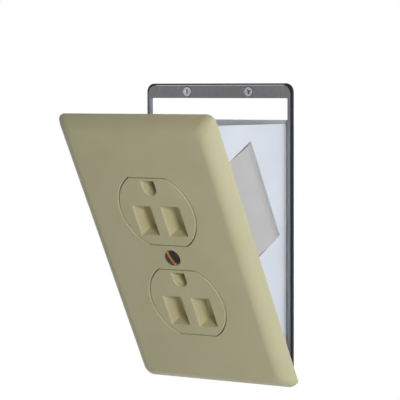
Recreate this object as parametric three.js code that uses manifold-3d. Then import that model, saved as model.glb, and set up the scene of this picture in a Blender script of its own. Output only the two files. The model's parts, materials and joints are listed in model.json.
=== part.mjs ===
// A wall safe disguised as a duplex outlet. A blank-backed outlet plate carries a wedge-shaped
// pocket and tilts out of a slim wall frame on a pin along its lower edge. The centre screw turns
// a cranked latch bar behind the frame's side rails, and a sprung ear stands out of each pocket
// wall. Millimetres, X to the right, -Y out of the wall, +Z up. The origin is on the wall side of
// the frame's lower rail, midway between its two screws. The safe is shown open, at its stop.

import * as THREE from 'three';
import { mergeVertices, toCreasedNormals } from 'three/addons/utils/BufferGeometryUtils.js';
import Module from 'manifold-3d';

const wasm = await Module();
wasm.setup();

// Clearances between pieces
const FIT = 0.3;
const SLIP = 0.1;

// How far a cutting shape runs past what it cuts
const OVERCUT = 5.0;

// Face plate, the size of a single-gang duplex plate
const PLATE_WIDTH = 69.85;
const PLATE_HEIGHT = 114.3;
const PLATE_RISE = 5.0;
const PLATE_SKIN = 2.0;
const PLATE_RIM_WALL = 1.5;
const PLATE_CORNER = 3.4;
const PLATE_EDGE_FLAT = 0.5;
const PLATE_ROLL_OFF = 6.5;
const PLATE_ROLL_STEPS = 7;
const PLATE_HOLLOW_STEPS = 4;
const PLATE_OFF_WALL = 0.2;

// Duplex receptacle faces set in the plate
const FACE_PITCH = 38.8;
const FACE_RADIUS = 16.2;
const FACE_FLAT = 14.0;
const FACE_GROOVE = 0.3;
const FACE_FLANGE = 1.5;
const FACE_FLANGE_THICK = 1.2;
const FACE_EAR_RADIUS = 2.6;
const FACE_EAR_REACH = 20.4;
const FACE_SCREW_RADIUS = 0.8;
const FACE_SCREW_HEAD = 1.6;
const FACE_SCREW_HEAD_THICK = 1.0;
const FACE_SCREW_BITE = 1.0;
const SLOT_PITCH = 12.7;
const SLOT_WIDTH = 8.0;
const SLOT_HEIGHT = 12.3;
const SLOT_DROP = 3.8;
const SLOT_DEPTH = 6.0;
const SLOT_TAPER_X = 1.5;
const SLOT_TAPER_Z = 1.1;
const CUP_WALL = 1.2;
const GROUND_WIDTH = 5.6;
const GROUND_TOP = 12.9;
const GROUND_BOTTOM = 7.0;
const GROUND_TAPER = 0.9;

// Tilt of the open door, and the hinge pin's place inside the plate's lower edge
const TILT = THREE.MathUtils.degToRad(28.2);
const HINGE_INSET = 3.4;
const HINGE_OUT = 1.4;
const PIN_RADIUS = 0.5;
const PIN_CAP_RADIUS = 1.2;
const PIN_CAP_LENGTH = 2.2;
const PIN_CAP_END = 0.8;
const KNUCKLE_RADIUS = 1.2;
const KNUCKLE_END = 9.0;
const KNUCKLE_MIDDLE = 9.0;
const KNUCKLE_SIDE_ROOM = 6.9;
const KNUCKLE_GAP = 0.4;

// Wall frame and its edge seal
const SEAL_ROOM = 0.4;
const FRAME_THICK = 1.6;
const FRAME_RAIL = 1.0;
const FRAME_LOWER_RAIL = 8.0;
const FRAME_CORNER = 3.2;
const OPENING_CORNER = 0.4;
const SEAL_THICK = 0.7;
const SCREW_LINE = 5.8;
const FRAME_SCREW_PITCH = 28.0;
const FRAME_SCREW_RADIUS = 1.1;
const FRAME_SCREW_HEAD = 1.8;
const FRAME_SCREW_LENGTH = 20.0;
const FRAME_SCREW_TIP = 3.0;

// Pocket behind the plate
const POCKET_SIDE_ROOM = 1.4;
const POCKET_WALL = 1.6;
const POCKET_FRONT_AT = 6.3;
const POCKET_FRONT_THICK = 1.6;
const WING_FRONT_AT = 2.4;
const MOUTH_DROP = 16.7;
const FLOOR_BELOW_SCREW = 1.1;
const SWING_CLEARANCE = 0.5;
const BACK_THICK = 1.3;
const BACK_LAP = 0.8;
const BACK_ABOVE_MOUTH = 1.4;
const BACK_BELOW_WINGS = 0.5;
const BACK_CORNER = 2.0;
const POST_SIZE = 5.4;
const POST_LENGTH = 5.0;
const POST_ABOVE_FLOOR = 14.0;
const POST_BELOW_MOUTH = 10.2;
const BACK_SCREW_RADIUS = 1.1;
const BACK_SCREW_HEAD = 2.2;
const BACK_SCREW_HEAD_THICK = 1.4;
const BACK_SCREW_BITE = 3.6;

// Stand-offs that carry the pocket on the plate
const STAND_OFF_X = 22.0;
const STAND_OFF_BELOW_TOP = 15.15;
const STAND_OFF_PAST_FACE_SCREW = 8.6;
const STAND_OFF_RADIUS = 3.4;
const POCKET_SCREW_RADIUS = 1.4;
const POCKET_SCREW_HEAD = 2.4;
const POCKET_SCREW_HEAD_THICK = 1.8;
const POCKET_SCREW_BITE = 6.0;

// Sprung ear in each pocket wall
const EAR_BOTTOM = -4.6;
const EAR_TOP = 34.2;
const EAR_ROOT_AT = 6.3;
const EAR_LENGTH = 14.8;
const EAR_THICK = 1.5;
const EAR_ROOT_RADIUS = 0.9;
const EAR_ROOT_INSET = 0.3;
const EAR_PIN_RADIUS = 0.5;
const EAR_PIN_LENGTH = 1.4;
const EAR_EDGE_ROUND = 2.4;
const EAR_WINDOW_GAP = 0.3;

// Lock: screw, bushing, spring washer, latch bar and retaining clip
const LOCK_HEAD_RADIUS = 3.0;
const LOCK_HEAD_CROWN = 0.8;
const LOCK_HEAD_CONE = 1.7;
const LOCK_SHANK_RADIUS = 1.75;
const LOCK_SLOT_WIDTH = 0.8;
const LOCK_SLOT_DEPTH = 1.0;
const LOCK_SQUARE = 2.6;
const LOCK_NECK_RADIUS = 1.1;
const LOCK_END_THICK = 0.5;
const LOCK_BOSS_RADIUS = 3.5;
const LOCK_BOSS_END = 0.9;
const BUSHING_WALL = 0.55;
const BUSHING_FLANGE_THICK = 0.5;
const WASHER_THICK = 0.4;
const WASHER_RADIUS = 3.3;
const LATCH_THICK = 1.4;
const LATCH_LAP = 1.3;
const LATCH_HUB_RADIUS = 5.2;
const LATCH_ARM_WIDTH = 6.0;
const LATCH_TIP_WIDTH = 3.0;
const LATCH_CRANK_START = 22.5;
const LATCH_CRANK_END = 26.0;
const CLIP_THICK = 0.7;
const CLIP_RADIUS = 3.0;
const CLIP_MOUTH = 1.7;
const UNLOCKED = THREE.MathUtils.degToRad(22.7);

// Facets of round shapes
const ROUND_FINE = 48;
const ROUND = 24;
const ROUND_SMALL = 16;

// Faces that meet at a sharper angle than this are shown with an edge between them
const CREASE = THREE.MathUtils.degToRad(25);

const COLOURS = {
  ivory: [0xded3a2, 0.38, 0],
  white: [0xe9ebee, 0.45, 0],
  steel: [0x8a8c90, 0.45, 0.9],
  zinc: [0x9da0a3, 0.4, 0.9],
  brass: [0xb08a3c, 0.35, 1],
  blackened: [0x1c1613, 0.35, 0.8],
  foam: [0x18181a, 0.95, 0],
};

function material(name) {
  const [color, roughness, metalness] = COLOURS[name];
  return new THREE.MeshStandardMaterial({ color, roughness, metalness });
}

// Turning a closed three.js geometry into a solid that can be joined or cut, and back

function solid(geometry) {
  const bare = geometry.index ? geometry.clone() : geometry;
  bare.deleteAttribute('normal');
  bare.deleteAttribute('uv');
  const merged = mergeVertices(bare, 1e-5);
  const mesh = new wasm.Mesh({
    numProp: 3,
    vertProperties: new Float32Array(merged.attributes.position.array),
    triVerts: new Uint32Array(merged.index.array),
  });
  mesh.merge();
  return new wasm.Manifold(mesh);
}

function join(...pieces) {
  return pieces.reduce((sum, piece) => sum.add(piece));
}

function geometryOf(body) {
  const mesh = body.getMesh();
  const geometry = new THREE.BufferGeometry();
  const points = new THREE.BufferAttribute(new Float32Array(mesh.vertProperties), mesh.numProp);
  geometry.setAttribute('position', points);
  geometry.setIndex(new THREE.BufferAttribute(new Uint32Array(mesh.triVerts), 1));
  return toCreasedNormals(geometry, CREASE);
}

function part(name, body, finish, place = [0, 0, 0]) {
  const mesh = new THREE.Mesh(geometryOf(body), material(finish));
  mesh.name = name;
  mesh.position.set(...place);
  return mesh;
}

// The same piece at several places of [x, z], numbered in its name
function parts(name, body, finish, y, places) {
  return places.map(([x, z], i) => part(`${name}_${i + 1}`, body, finish, [x, y, z]));
}

// Basic solids, each given by its limits

function block(x0, x1, y0, y1, z0, z1) {
  const box = new THREE.BoxGeometry(x1 - x0, y1 - y0, z1 - z0);
  box.translate((x0 + x1) / 2, (y0 + y1) / 2, (z0 + z1) / 2);
  return solid(box);
}

function extrude(shape, depth, curveSegments = ROUND_SMALL) {
  return new THREE.ExtrudeGeometry(shape, { depth, bevelEnabled: false, curveSegments });
}

// A shape drawn in X and Z, between two places along Y
function plateOf(shape, y0, y1, curveSegments) {
  const geometry = extrude(shape, y1 - y0, curveSegments);
  geometry.rotateX(Math.PI / 2);
  geometry.translate(0, y1, 0);
  return solid(geometry);
}

// A shape drawn in Y and Z, between two places along X
function sideOf(shape, x0, x1, curveSegments) {
  const geometry = extrude(shape, x1 - x0, curveSegments);
  geometry.rotateY(Math.PI / 2);
  geometry.rotateX(Math.PI / 2);
  geometry.translate(x0, 0, 0);
  return solid(geometry);
}

// A cylinder or cone along Y, centred on (x, z)
function rodY(radius0, radius1, y0, y1, x = 0, z = 0, segments = ROUND) {
  const rod = new THREE.CylinderGeometry(radius1, radius0, y1 - y0, segments);
  rod.translate(x, (y0 + y1) / 2, z);
  return solid(rod);
}

function rodX(radius, x0, x1, segments = ROUND) {
  const rod = new THREE.CylinderGeometry(radius, radius, x1 - x0, segments);
  rod.rotateZ(Math.PI / 2);
  rod.translate((x0 + x1) / 2, 0, 0);
  return solid(rod);
}

// A solid of revolution about Y from a closed half-profile of [radius, y] points
function turned(points, segments = ROUND) {
  const profile = points.map(([r, y]) => new THREE.Vector2(r, y));
  return solid(new THREE.LatheGeometry(profile, segments));
}

function roundedRectangle(halfWidth, z0, z1, radius) {
  const shape = new THREE.Shape();
  shape.moveTo(halfWidth, z0 + radius);
  shape.absarc(halfWidth - radius, z1 - radius, radius, 0, Math.PI / 2);
  shape.absarc(-halfWidth + radius, z1 - radius, radius, Math.PI / 2, Math.PI);
  shape.absarc(-halfWidth + radius, z0 + radius, radius, Math.PI, Math.PI * 1.5);
  shape.absarc(halfWidth - radius, z0 + radius, radius, Math.PI * 1.5, Math.PI * 2);
  return shape;
}

// Stacks one outline of [x, z] points over another along Y and caps both ends. The stack starts
// at the back, so that its faces point out.
function stack(levels) {
  const count = levels[0].outline.length;
  const points = levels.flatMap(({ outline, y }) => outline.flatMap(([x, z]) => [x, y, z]));
  const index = [];
  for (let level = 0; level + 1 < levels.length; level += 1) {
    for (let i = 0; i < count; i += 1) {
      const a = level * count + i;
      const b = level * count + ((i + 1) % count);
      index.push(a, b, b + count, a, b + count, a + count);
    }
  }
  const last = (levels.length - 1) * count;
  for (let i = 1; i + 1 < count; i += 1) {
    index.push(0, i + 1, i);
    index.push(last, last + i, last + i + 1);
  }
  const geometry = new THREE.BufferGeometry();
  geometry.setAttribute('position', new THREE.Float32BufferAttribute(points, 3));
  geometry.setIndex(index);
  return solid(geometry);
}

function outlineOf(shape, curveSegments) {
  return shape.extractPoints(curveSegments).shape.map((point) => [point.x, point.y]);
}

// Hinge-centred values. The wall's surface lies HINGE_OUT behind the pin.
const hingeDrop = PLATE_HEIGHT / 2 - HINGE_INSET;
const plateTop = PLATE_HEIGHT - HINGE_INSET;
const frameBack = HINGE_OUT;
const frameFront = HINGE_OUT - FRAME_THICK;
const sealFront = frameFront + FIT + SLIP;
const sealTop = plateTop - PLATE_RIM_WALL - FIT - SLIP;
const frameTop = sealTop - SEAL_THICK;
const frameHalf = PLATE_WIDTH / 2 - PLATE_RIM_WALL - SEAL_ROOM - SEAL_THICK - SLIP;
const openingHalf = frameHalf - FRAME_RAIL;
const knuckleSpan = PLATE_WIDTH - 2 * KNUCKLE_SIDE_ROOM;
const pocketHalf = openingHalf - POCKET_SIDE_ROOM;
const latchReach = openingHalf + LATCH_LAP;
const railBottom = KNUCKLE_RADIUS + FIT;
const openingBottom = railBottom + FRAME_LOWER_RAIL;
const pinBore = PIN_RADIUS + FIT;
const mouthHeight = plateTop - MOUTH_DROP;
const standOffHigh = PLATE_HEIGHT / 2 - STAND_OFF_BELOW_TOP;
const standOffLow = -FACE_PITCH / 2 - STAND_OFF_PAST_FACE_SCREW;

// The pocket's rear edge lies in the wall's surface when the door is open, and its back lies
// behind the frame's rails
const wingBack = HINGE_OUT;
const backFront = wingBack + FIT;
const backRear = backFront + BACK_THICK;

// From the open pose to the door's own frame, as [y, z]
function closed([y, z]) {
  const cos = Math.cos(TILT);
  const sin = Math.sin(TILT);
  return [y * cos + z * sin, z * cos - y * sin];
}

// Where the mouth's level line meets a line parallel to the plate, y behind the pin
function mouthAt(y) {
  return (mouthHeight - y * Math.sin(TILT)) / Math.cos(TILT);
}

const pocketFront = POCKET_FRONT_AT + HINGE_OUT;
const pocketInner = pocketFront + POCKET_FRONT_THICK;
const wingFront = WING_FRONT_AT + HINGE_OUT;

// The pocket's floor lies just under its lower screws
const floorFront = standOffLow + hingeDrop - POCKET_SCREW_HEAD - FLOOR_BELOW_SCREW;
const floorHeight = floorFront * Math.cos(TILT) + pocketInner * Math.sin(TILT);
const swingHigh = Math.hypot(pocketFront, mouthAt(pocketFront));
const swingLow = Math.hypot(openingBottom, frameBack) + SWING_CLEARANCE;
const openingTop = swingHigh + SWING_CLEARANCE;

// Duplex outline: a circle with its top and bottom cut flat, grown by a margin
function duplexShape(margin, centre) {
  const radius = FACE_RADIUS + margin;
  const corner = Math.asin((FACE_FLAT + margin) / radius);
  const shape = new THREE.Shape();
  shape.absarc(0, centre, radius, -corner, corner);
  shape.absarc(0, centre, radius, Math.PI - corner, Math.PI + corner);
  return shape;
}

const standOffPlaces = [standOffHigh, standOffLow].flatMap(
  (z) => [-STAND_OFF_X, STAND_OFF_X].map((x) => [x, z]));

// How far the plate's front stands out of its rim at a distance in from the edge: a short
// straight edge, and a parabola that runs out flat
function rollAt(inset) {
  const left = 1 - Math.min(inset / PLATE_ROLL_OFF, 1);
  return PLATE_EDGE_FLAT + (PLATE_RISE - PLATE_EDGE_FLAT) * (1 - left * left);
}

function facePlate() {
  const halfWidth = PLATE_WIDTH / 2;
  const halfHeight = PLATE_HEIGHT / 2;
  const outlineAt = (inset) => outlineOf(
    roundedRectangle(halfWidth - inset, inset - halfHeight, halfHeight - inset, PLATE_CORNER), 4);
  const levels = [{ outline: outlineAt(0), y: 0 }];
  for (let step = 0; step <= PLATE_ROLL_STEPS; step += 1) {
    const inset = (step / PLATE_ROLL_STEPS) * PLATE_ROLL_OFF;
    levels.push({ outline: outlineAt(inset), y: -rollAt(inset) });
  }

  // The hollow behind follows the roll at a share of its depth
  const skinBack = PLATE_SKIN - PLATE_RISE;
  const share = 1 - PLATE_SKIN / PLATE_RISE;
  const hollow = [{ outline: outlineAt(PLATE_RIM_WALL), y: OVERCUT }];
  for (let step = 0; step <= PLATE_HOLLOW_STEPS; step += 1) {
    const inset = PLATE_RIM_WALL
      + (step / PLATE_HOLLOW_STEPS) * (PLATE_ROLL_OFF - PLATE_RIM_WALL);
    hollow.push({ outline: outlineAt(inset), y: -rollAt(inset) * share });
  }
  let body = stack(levels).subtract(stack(hollow));

  // Stand-offs for the pocket, and the boss that holds the lock's bushing
  const pocketPilot = POCKET_SCREW_RADIUS + FIT;
  const standOffs = standOffPlaces.map(([x, z]) => rodY(
    STAND_OFF_RADIUS, STAND_OFF_RADIUS, skinBack - 1, POCKET_FRONT_AT - FIT, x, z,
  ).subtract(rodY(pocketPilot, pocketPilot, POCKET_FRONT_AT - POCKET_SCREW_BITE - FIT,
    POCKET_FRONT_AT, x, z, ROUND_SMALL)));
  const boss = rodY(LOCK_BOSS_RADIUS, LOCK_BOSS_RADIUS, skinBack - 1, LOCK_BOSS_END);
  body = join(body, boss, ...standOffs);

  // Hinge knuckles under the skin, and room for the frame's knuckles between and beside them
  const [left, right] = plateKnuckles();
  const drop = -hingeDrop;
  for (const [x0, x1] of [left, right]) {
    const web = block(x0, x1, skinBack - PLATE_SKIN / 4, -HINGE_OUT, drop, drop + KNUCKLE_RADIUS);
    body = join(body, rodX(KNUCKLE_RADIUS, x0, x1).translate([0, -HINGE_OUT, drop]), web);
  }
  const room = KNUCKLE_RADIUS + FIT;
  const capRoom = knuckleSpan / 2 + PIN_CAP_LENGTH + 2 * FIT;
  for (const [x0, x1] of [[-capRoom, left[0]], [left[1], right[0]], [right[1], capRoom]]) {
    body = body.subtract(rodX(room, x0, x1).translate([0, -HINGE_OUT, drop]));
  }
  body = body.subtract(rodX(pinBore, -capRoom, capRoom, ROUND_SMALL).translate([0, -HINGE_OUT, drop]));

  // The lower edge is cut back so that it lies on the wall when the door is open
  const wallSide = block(-PLATE_WIDTH, PLATE_WIDTH, frameBack - PLATE_OFF_WALL,
    frameBack + PLATE_RISE, -HINGE_INSET - PLATE_RISE, -KNUCKLE_RADIUS / 2);
  body = body.subtract(tiltedBack(wallSide).translate([0, -HINGE_OUT, drop]));

  // Openings for the two receptacle faces and the lock screw, and pilot holes for small screws
  for (const side of [-1, 1]) {
    const centre = (side * FACE_PITCH) / 2;
    body = body.subtract(plateOf(duplexShape(FACE_GROOVE, centre), -PLATE_RISE - 1, 0, ROUND_FINE / 2));
    for (const x of [-FACE_EAR_REACH, FACE_EAR_REACH]) {
      const pilot = FACE_SCREW_RADIUS + FIT;
      body = body.subtract(rodY(pilot, pilot, skinBack - FACE_SCREW_BITE - FIT, 0, x, centre, ROUND_SMALL));
    }
  }
  const seat = LOCK_HEAD_RADIUS + FIT;
  const throat = LOCK_SHANK_RADIUS + FIT;
  const bushingHole = throat + BUSHING_WALL + FIT;
  const coneEnd = LOCK_HEAD_CONE - PLATE_RISE;
  return join(body.subtract(join(
    rodY(seat, throat, -PLATE_RISE, coneEnd),
    rodY(seat, seat, -PLATE_RISE - 1, -PLATE_RISE),
    rodY(throat, throat, coneEnd - 0.5, 0),
    rodY(bushingHole, bushingHole, skinBack, LOCK_BOSS_END + 1),
  )));
}

// The outline of a blade slot, grown by a margin, at a share of its depth below the face
function slotOutline(x, z, margin, share) {
  const halfX = SLOT_WIDTH / 2 + margin - SLOT_TAPER_X * share;
  const halfZ = SLOT_HEIGHT / 2 + margin - SLOT_TAPER_Z * share;
  return [[x - halfX, z - halfZ], [x + halfX, z - halfZ], [x + halfX, z + halfZ],
    [x - halfX, z + halfZ]];
}

// A tapered recess from the face to its floor, or with a margin the cup that holds it
function taperedRecess(outlineAt, margin, y0, y1) {
  const level = (y) => ({ outline: outlineAt(margin, (y + PLATE_RISE) / SLOT_DEPTH), y });
  const levels = [level(y1), level(y0)];
  if (y0 <= -PLATE_RISE) levels.push({ outline: levels[1].outline, y: y0 - OVERCUT });
  return stack(levels);
}

function groundShape(margin, centre) {
  const half = GROUND_WIDTH / 2 + margin;
  const arcCentre = centre + GROUND_BOTTOM + GROUND_WIDTH / 2;
  const shape = new THREE.Shape();
  shape.moveTo(half, centre + GROUND_TOP + margin);
  shape.lineTo(-half, centre + GROUND_TOP + margin);
  shape.absarc(0, arcCentre, half, Math.PI, 2 * Math.PI);
  return shape;
}

// Receptacle face: a flush duplex-shaped face with a flange behind the plate's skin. Its two
// slots and its ground hole are blind cups, so that nothing shows behind them.
function receptacleFace(centre) {
  const skinBack = PLATE_SKIN - PLATE_RISE;
  const flangeFront = skinBack + FIT;
  const flangeBack = flangeFront + FACE_FLANGE_THICK;
  const cupEnd = SLOT_DEPTH + CUP_WALL - PLATE_RISE;
  const slotZ = centre - SLOT_DROP;
  let body = join(
    plateOf(duplexShape(0, centre), -PLATE_RISE, flangeBack, ROUND_FINE / 2),
    plateOf(duplexShape(FACE_FLANGE, centre), flangeFront, flangeBack, ROUND_FINE / 2),
    block(-FACE_EAR_REACH, FACE_EAR_REACH, flangeFront, flangeBack,
      centre - FACE_EAR_RADIUS, centre + FACE_EAR_RADIUS),
  );
  for (const x of [-FACE_EAR_REACH, FACE_EAR_REACH]) {
    body = join(body, rodY(FACE_EAR_RADIUS, FACE_EAR_RADIUS, flangeFront, flangeBack, x, centre));
    const hole = FACE_SCREW_RADIUS + FIT;
    body = body.subtract(rodY(hole, hole, -PLATE_RISE, 1, x, centre, ROUND_SMALL));
  }
  const recesses = [
    (margin, share) => outlineOf(groundShape(margin - GROUND_TAPER * share, centre), 6),
    ...[-SLOT_PITCH / 2, SLOT_PITCH / 2].map(
      (x) => (margin, share) => slotOutline(x, slotZ, margin, share)),
  ];
  const cups = recesses.map((at) => taperedRecess(at, CUP_WALL, flangeFront, cupEnd));
  const hollows = recesses.map((at) => taperedRecess(at, 0, -PLATE_RISE, SLOT_DEPTH - PLATE_RISE));
  return join(body, ...cups).subtract(join(...hollows));
}

// A pan-head screw along Y whose head bears at y = 0 and whose shank runs forward
function panScrew(shank, head, headThick, length) {
  return join(
    rodY(shank, shank, -length, headThick / 2, 0, 0, ROUND_SMALL),
    rodY(head, head * 0.8, 0, headThick, 0, 0, ROUND_SMALL),
  );
}

const faceScrewBearing = PLATE_SKIN - PLATE_RISE + 2 * FIT + FACE_FLANGE_THICK;
const faceScrewPlaces = [FACE_PITCH / 2, -FACE_PITCH / 2].flatMap(
  (z) => [-FACE_EAR_REACH, FACE_EAR_REACH].map((x) => [x, z]));

function receptacleScrew() {
  const length = faceScrewBearing - (PLATE_SKIN - PLATE_RISE - FACE_SCREW_BITE);
  return panScrew(FACE_SCREW_RADIUS, FACE_SCREW_HEAD, FACE_SCREW_HEAD_THICK, length);
}

// Spans of the hinge's knuckles along X, the frame's at the ends and in the middle
function frameKnuckles() {
  const end = knuckleSpan / 2;
  const middle = KNUCKLE_MIDDLE / 2;
  return [[-end, KNUCKLE_END - end], [-middle, middle], [end - KNUCKLE_END, end]];
}

function plateKnuckles() {
  const [left, middle, right] = frameKnuckles();
  return [
    [left[1] + KNUCKLE_GAP, middle[0] - KNUCKLE_GAP],
    [middle[1] + KNUCKLE_GAP, right[0] - KNUCKLE_GAP],
  ];
}

// The frame's screws sit in the lower rail and, as high as its rail allows, in the upper one
const upperScrews = (openingTop + frameTop) / 2;
const frameScrewPlaces = [SCREW_LINE, upperScrews].flatMap(
  (z) => [-FRAME_SCREW_PITCH / 2, FRAME_SCREW_PITCH / 2].map((x) => [x, z]));

function wallFrame() {
  const outer = roundedRectangle(frameHalf, railBottom, frameTop, FRAME_CORNER);
  const inner = roundedRectangle(openingHalf, openingBottom, openingTop, OPENING_CORNER);
  let body = plateOf(outer, frameFront, frameBack, 4)
    .subtract(plateOf(inner, frameFront - 1, frameBack + 1, 4));
  for (const [x0, x1] of frameKnuckles()) {
    const leaf = block(x0, x1, frameFront, KNUCKLE_RADIUS, 0, railBottom + 1);
    body = join(body, rodX(KNUCKLE_RADIUS, x0, x1), leaf);
  }
  body = body.subtract(rodX(pinBore, -knuckleSpan, knuckleSpan, ROUND_SMALL));
  const shank = FRAME_SCREW_RADIUS + FIT;
  const head = FRAME_SCREW_HEAD + FIT;
  for (const [x, z] of frameScrewPlaces) {
    body = body.subtract(join(
      rodY(shank, shank, frameFront - 1, frameBack + 1, x, z, ROUND_SMALL),
      rodY(head, shank, frameFront, frameFront + head - shank, x, z, ROUND_SMALL),
      rodY(head, head, frameFront - 1, frameFront, x, z, ROUND_SMALL),
    ));
  }
  return body;
}

// Foam strip round the frame's sides and top, set back so that the plate's rim closes over it
function edgeSeal() {
  const inside = frameHalf + SLIP;
  const outside = inside + SEAL_THICK;
  const shape = roundedRectangle(outside, railBottom, sealTop, FRAME_CORNER);
  const hole = roundedRectangle(inside, railBottom - 2 * FRAME_CORNER, frameTop + SLIP, FRAME_CORNER);
  return plateOf(shape, sealFront, frameBack, 4)
    .subtract(plateOf(hole, sealFront - 1, frameBack + 1, 4));
}

function frameScrew() {
  const shank = FRAME_SCREW_RADIUS;
  const cone = FRAME_SCREW_HEAD - shank;
  const taper = FRAME_SCREW_LENGTH - FRAME_SCREW_TIP;
  return join(
    rodY(FRAME_SCREW_HEAD, shank, 0, cone, 0, 0, ROUND_SMALL),
    rodY(shank, shank, cone, taper, 0, 0, ROUND_SMALL),
    rodY(shank, shank * 0.15, taper, FRAME_SCREW_LENGTH, 0, 0, ROUND_SMALL),
  );
}

// The pin reaches almost to the closed ends of its caps
const capPlace = knuckleSpan / 2 + FIT;

function hingePin() {
  const reach = capPlace + PIN_CAP_LENGTH - PIN_CAP_END - FIT;
  return rodX(PIN_RADIUS, -reach, reach, ROUND_SMALL);
}

// A push-on cap closes over each end of the pin, outside the frame's end knuckle
function pinCap() {
  const shut = PIN_CAP_LENGTH - PIN_CAP_END;
  const inside = PIN_RADIUS + SLIP;
  return rodX(PIN_CAP_RADIUS, 0, PIN_CAP_LENGTH, ROUND_SMALL)
    .subtract(rodX(inside, -1, shut, ROUND_SMALL));
}

// Side profile of the pocket in the door's frame. Both ends of its swing are arcs round the pin,
// so that it passes the frame's rails at every angle.
function pocketProfile() {
  const rearTop = closed([wingBack, mouthHeight]);
  const rearLow = closed([wingBack, Math.sqrt(swingLow ** 2 - wingBack ** 2)]);
  const frontTop = [pocketFront, mouthAt(pocketFront)];
  const frontHigh = Math.sqrt(swingHigh ** 2 - wingFront ** 2);
  const frontLow = Math.sqrt(swingLow ** 2 - wingFront ** 2);
  const shape = new THREE.Shape();
  shape.moveTo(...rearTop);
  shape.lineTo(...frontTop);
  shape.absarc(0, 0, swingHigh, Math.atan2(frontTop[1], frontTop[0]), Math.atan2(frontHigh, wingFront));
  shape.lineTo(wingFront, frontLow);
  shape.absarc(0, 0, swingLow, Math.atan2(frontLow, wingFront), Math.atan2(rearLow[1], rearLow[0]), true);
  return shape;
}

// The space inside: behind the front wall, above the floor, open at the top and the back
function pocketInside() {
  const shape = new THREE.Shape();
  shape.moveTo(pocketInner, floorFront);
  shape.lineTo(...closed([wingBack + OVERCUT, floorHeight]));
  shape.lineTo(...closed([wingBack + OVERCUT, mouthHeight + OVERCUT]));
  shape.lineTo(pocketInner, mouthAt(pocketInner) + 2 * OVERCUT);
  return shape;
}

const backScrewPlaces = [floorHeight + POST_ABOVE_FLOOR, mouthHeight - POST_BELOW_MOUTH].flatMap(
  (z) => [-1, 1].map((side) => [side * (pocketHalf - POCKET_WALL - POST_SIZE / 2), z]));

function tiltedBack(body) {
  return body.rotate([-THREE.MathUtils.radToDeg(TILT), 0, 0]);
}

function pocketShell() {
  const inner = pocketHalf - POCKET_WALL;
  const hollow = sideOf(pocketInside(), -inner, inner, 2);
  const front = block(-inner, inner, -OVERCUT, pocketFront, -2 * OVERCUT,
    PLATE_HEIGHT + 2 * OVERCUT);
  let body = sideOf(pocketProfile(), -pocketHalf, pocketHalf, 6)
    .subtract(hollow).subtract(front);
  const half = POST_SIZE / 2;
  for (const [x, z] of backScrewPlaces) {
    const root = x > 0 ? [x - half, inner + 0.4] : [-inner - 0.4, x + half];
    const post = block(root[0], root[1], wingBack - POST_LENGTH, wingBack, z - half, z + half);
    const bore = BACK_SCREW_RADIUS + FIT;
    const hole = rodY(bore, bore, wingBack - BACK_SCREW_BITE - FIT, wingBack + 1, x, z, ROUND_SMALL);
    body = join(body, tiltedBack(post)).subtract(tiltedBack(hole));
  }
  const clear = POCKET_SCREW_RADIUS + FIT;
  for (const [x, z] of standOffPlaces) {
    body = body.subtract(rodY(clear, clear, pocketFront - 1, pocketInner + 1,
      x, z + hingeDrop, ROUND_SMALL));
  }
  const windowFront = EAR_ROOT_AT - EAR_ROOT_RADIUS - FIT + HINGE_OUT;
  const windowBack = EAR_ROOT_AT + EAR_LENGTH + EAR_WINDOW_GAP + HINGE_OUT;
  for (const side of [-1, 1]) {
    const reach = [side * (beadX - EAR_ROOT_RADIUS - FIT), side * (pocketHalf + 1)];
    const window = block(Math.min(...reach), Math.max(...reach), windowFront, windowBack,
      EAR_BOTTOM - EAR_WINDOW_GAP + hingeDrop, EAR_TOP + EAR_WINDOW_GAP + hingeDrop);
    const pinHoles = earPin(side, EAR_PIN_RADIUS + 2 * SLIP).translate([0, HINGE_OUT, hingeDrop]);
    body = body.subtract(window).subtract(pinHoles);
  }
  return body;
}

// The pocket's back is a separate cover, wider than the frame's opening: its edges come to rest
// behind the rails and stop the door
function rearCover() {
  const halfWidth = openingHalf + BACK_LAP;
  const low = swingLow + BACK_BELOW_WINGS;
  const shape = roundedRectangle(halfWidth, low, mouthHeight + BACK_ABOVE_MOUTH, BACK_CORNER);
  let body = plateOf(shape, backFront, backRear, 4);
  const hole = BACK_SCREW_RADIUS + FIT;
  for (const [x, z] of backScrewPlaces) {
    body = body.subtract(rodY(hole, hole, backFront - 1, backRear + 1, x, z, ROUND_SMALL));
  }
  return body;
}

const rearScrewBearing = backRear + FIT;

function rearCoverScrew() {
  const length = rearScrewBearing - wingBack + BACK_SCREW_BITE;
  return panScrew(BACK_SCREW_RADIUS, BACK_SCREW_HEAD, BACK_SCREW_HEAD_THICK, length);
}

const pocketScrewBearing = POCKET_FRONT_AT + POCKET_FRONT_THICK + FIT;

function pocketScrew() {
  const length = pocketScrewBearing - POCKET_FRONT_AT + POCKET_SCREW_BITE;
  return panScrew(POCKET_SCREW_RADIUS, POCKET_SCREW_HEAD, POCKET_SCREW_HEAD_THICK, length);
}

// Ear: a leaf that swings on the bead along its front edge, which ends in a small pin at the top
// and the bottom. Its free rear edge stands proud of the pocket's wall, just inside the frame's
// opening, and is rounded inwards.
const beadX = pocketHalf - EAR_ROOT_INSET - EAR_ROOT_RADIUS;

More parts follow.
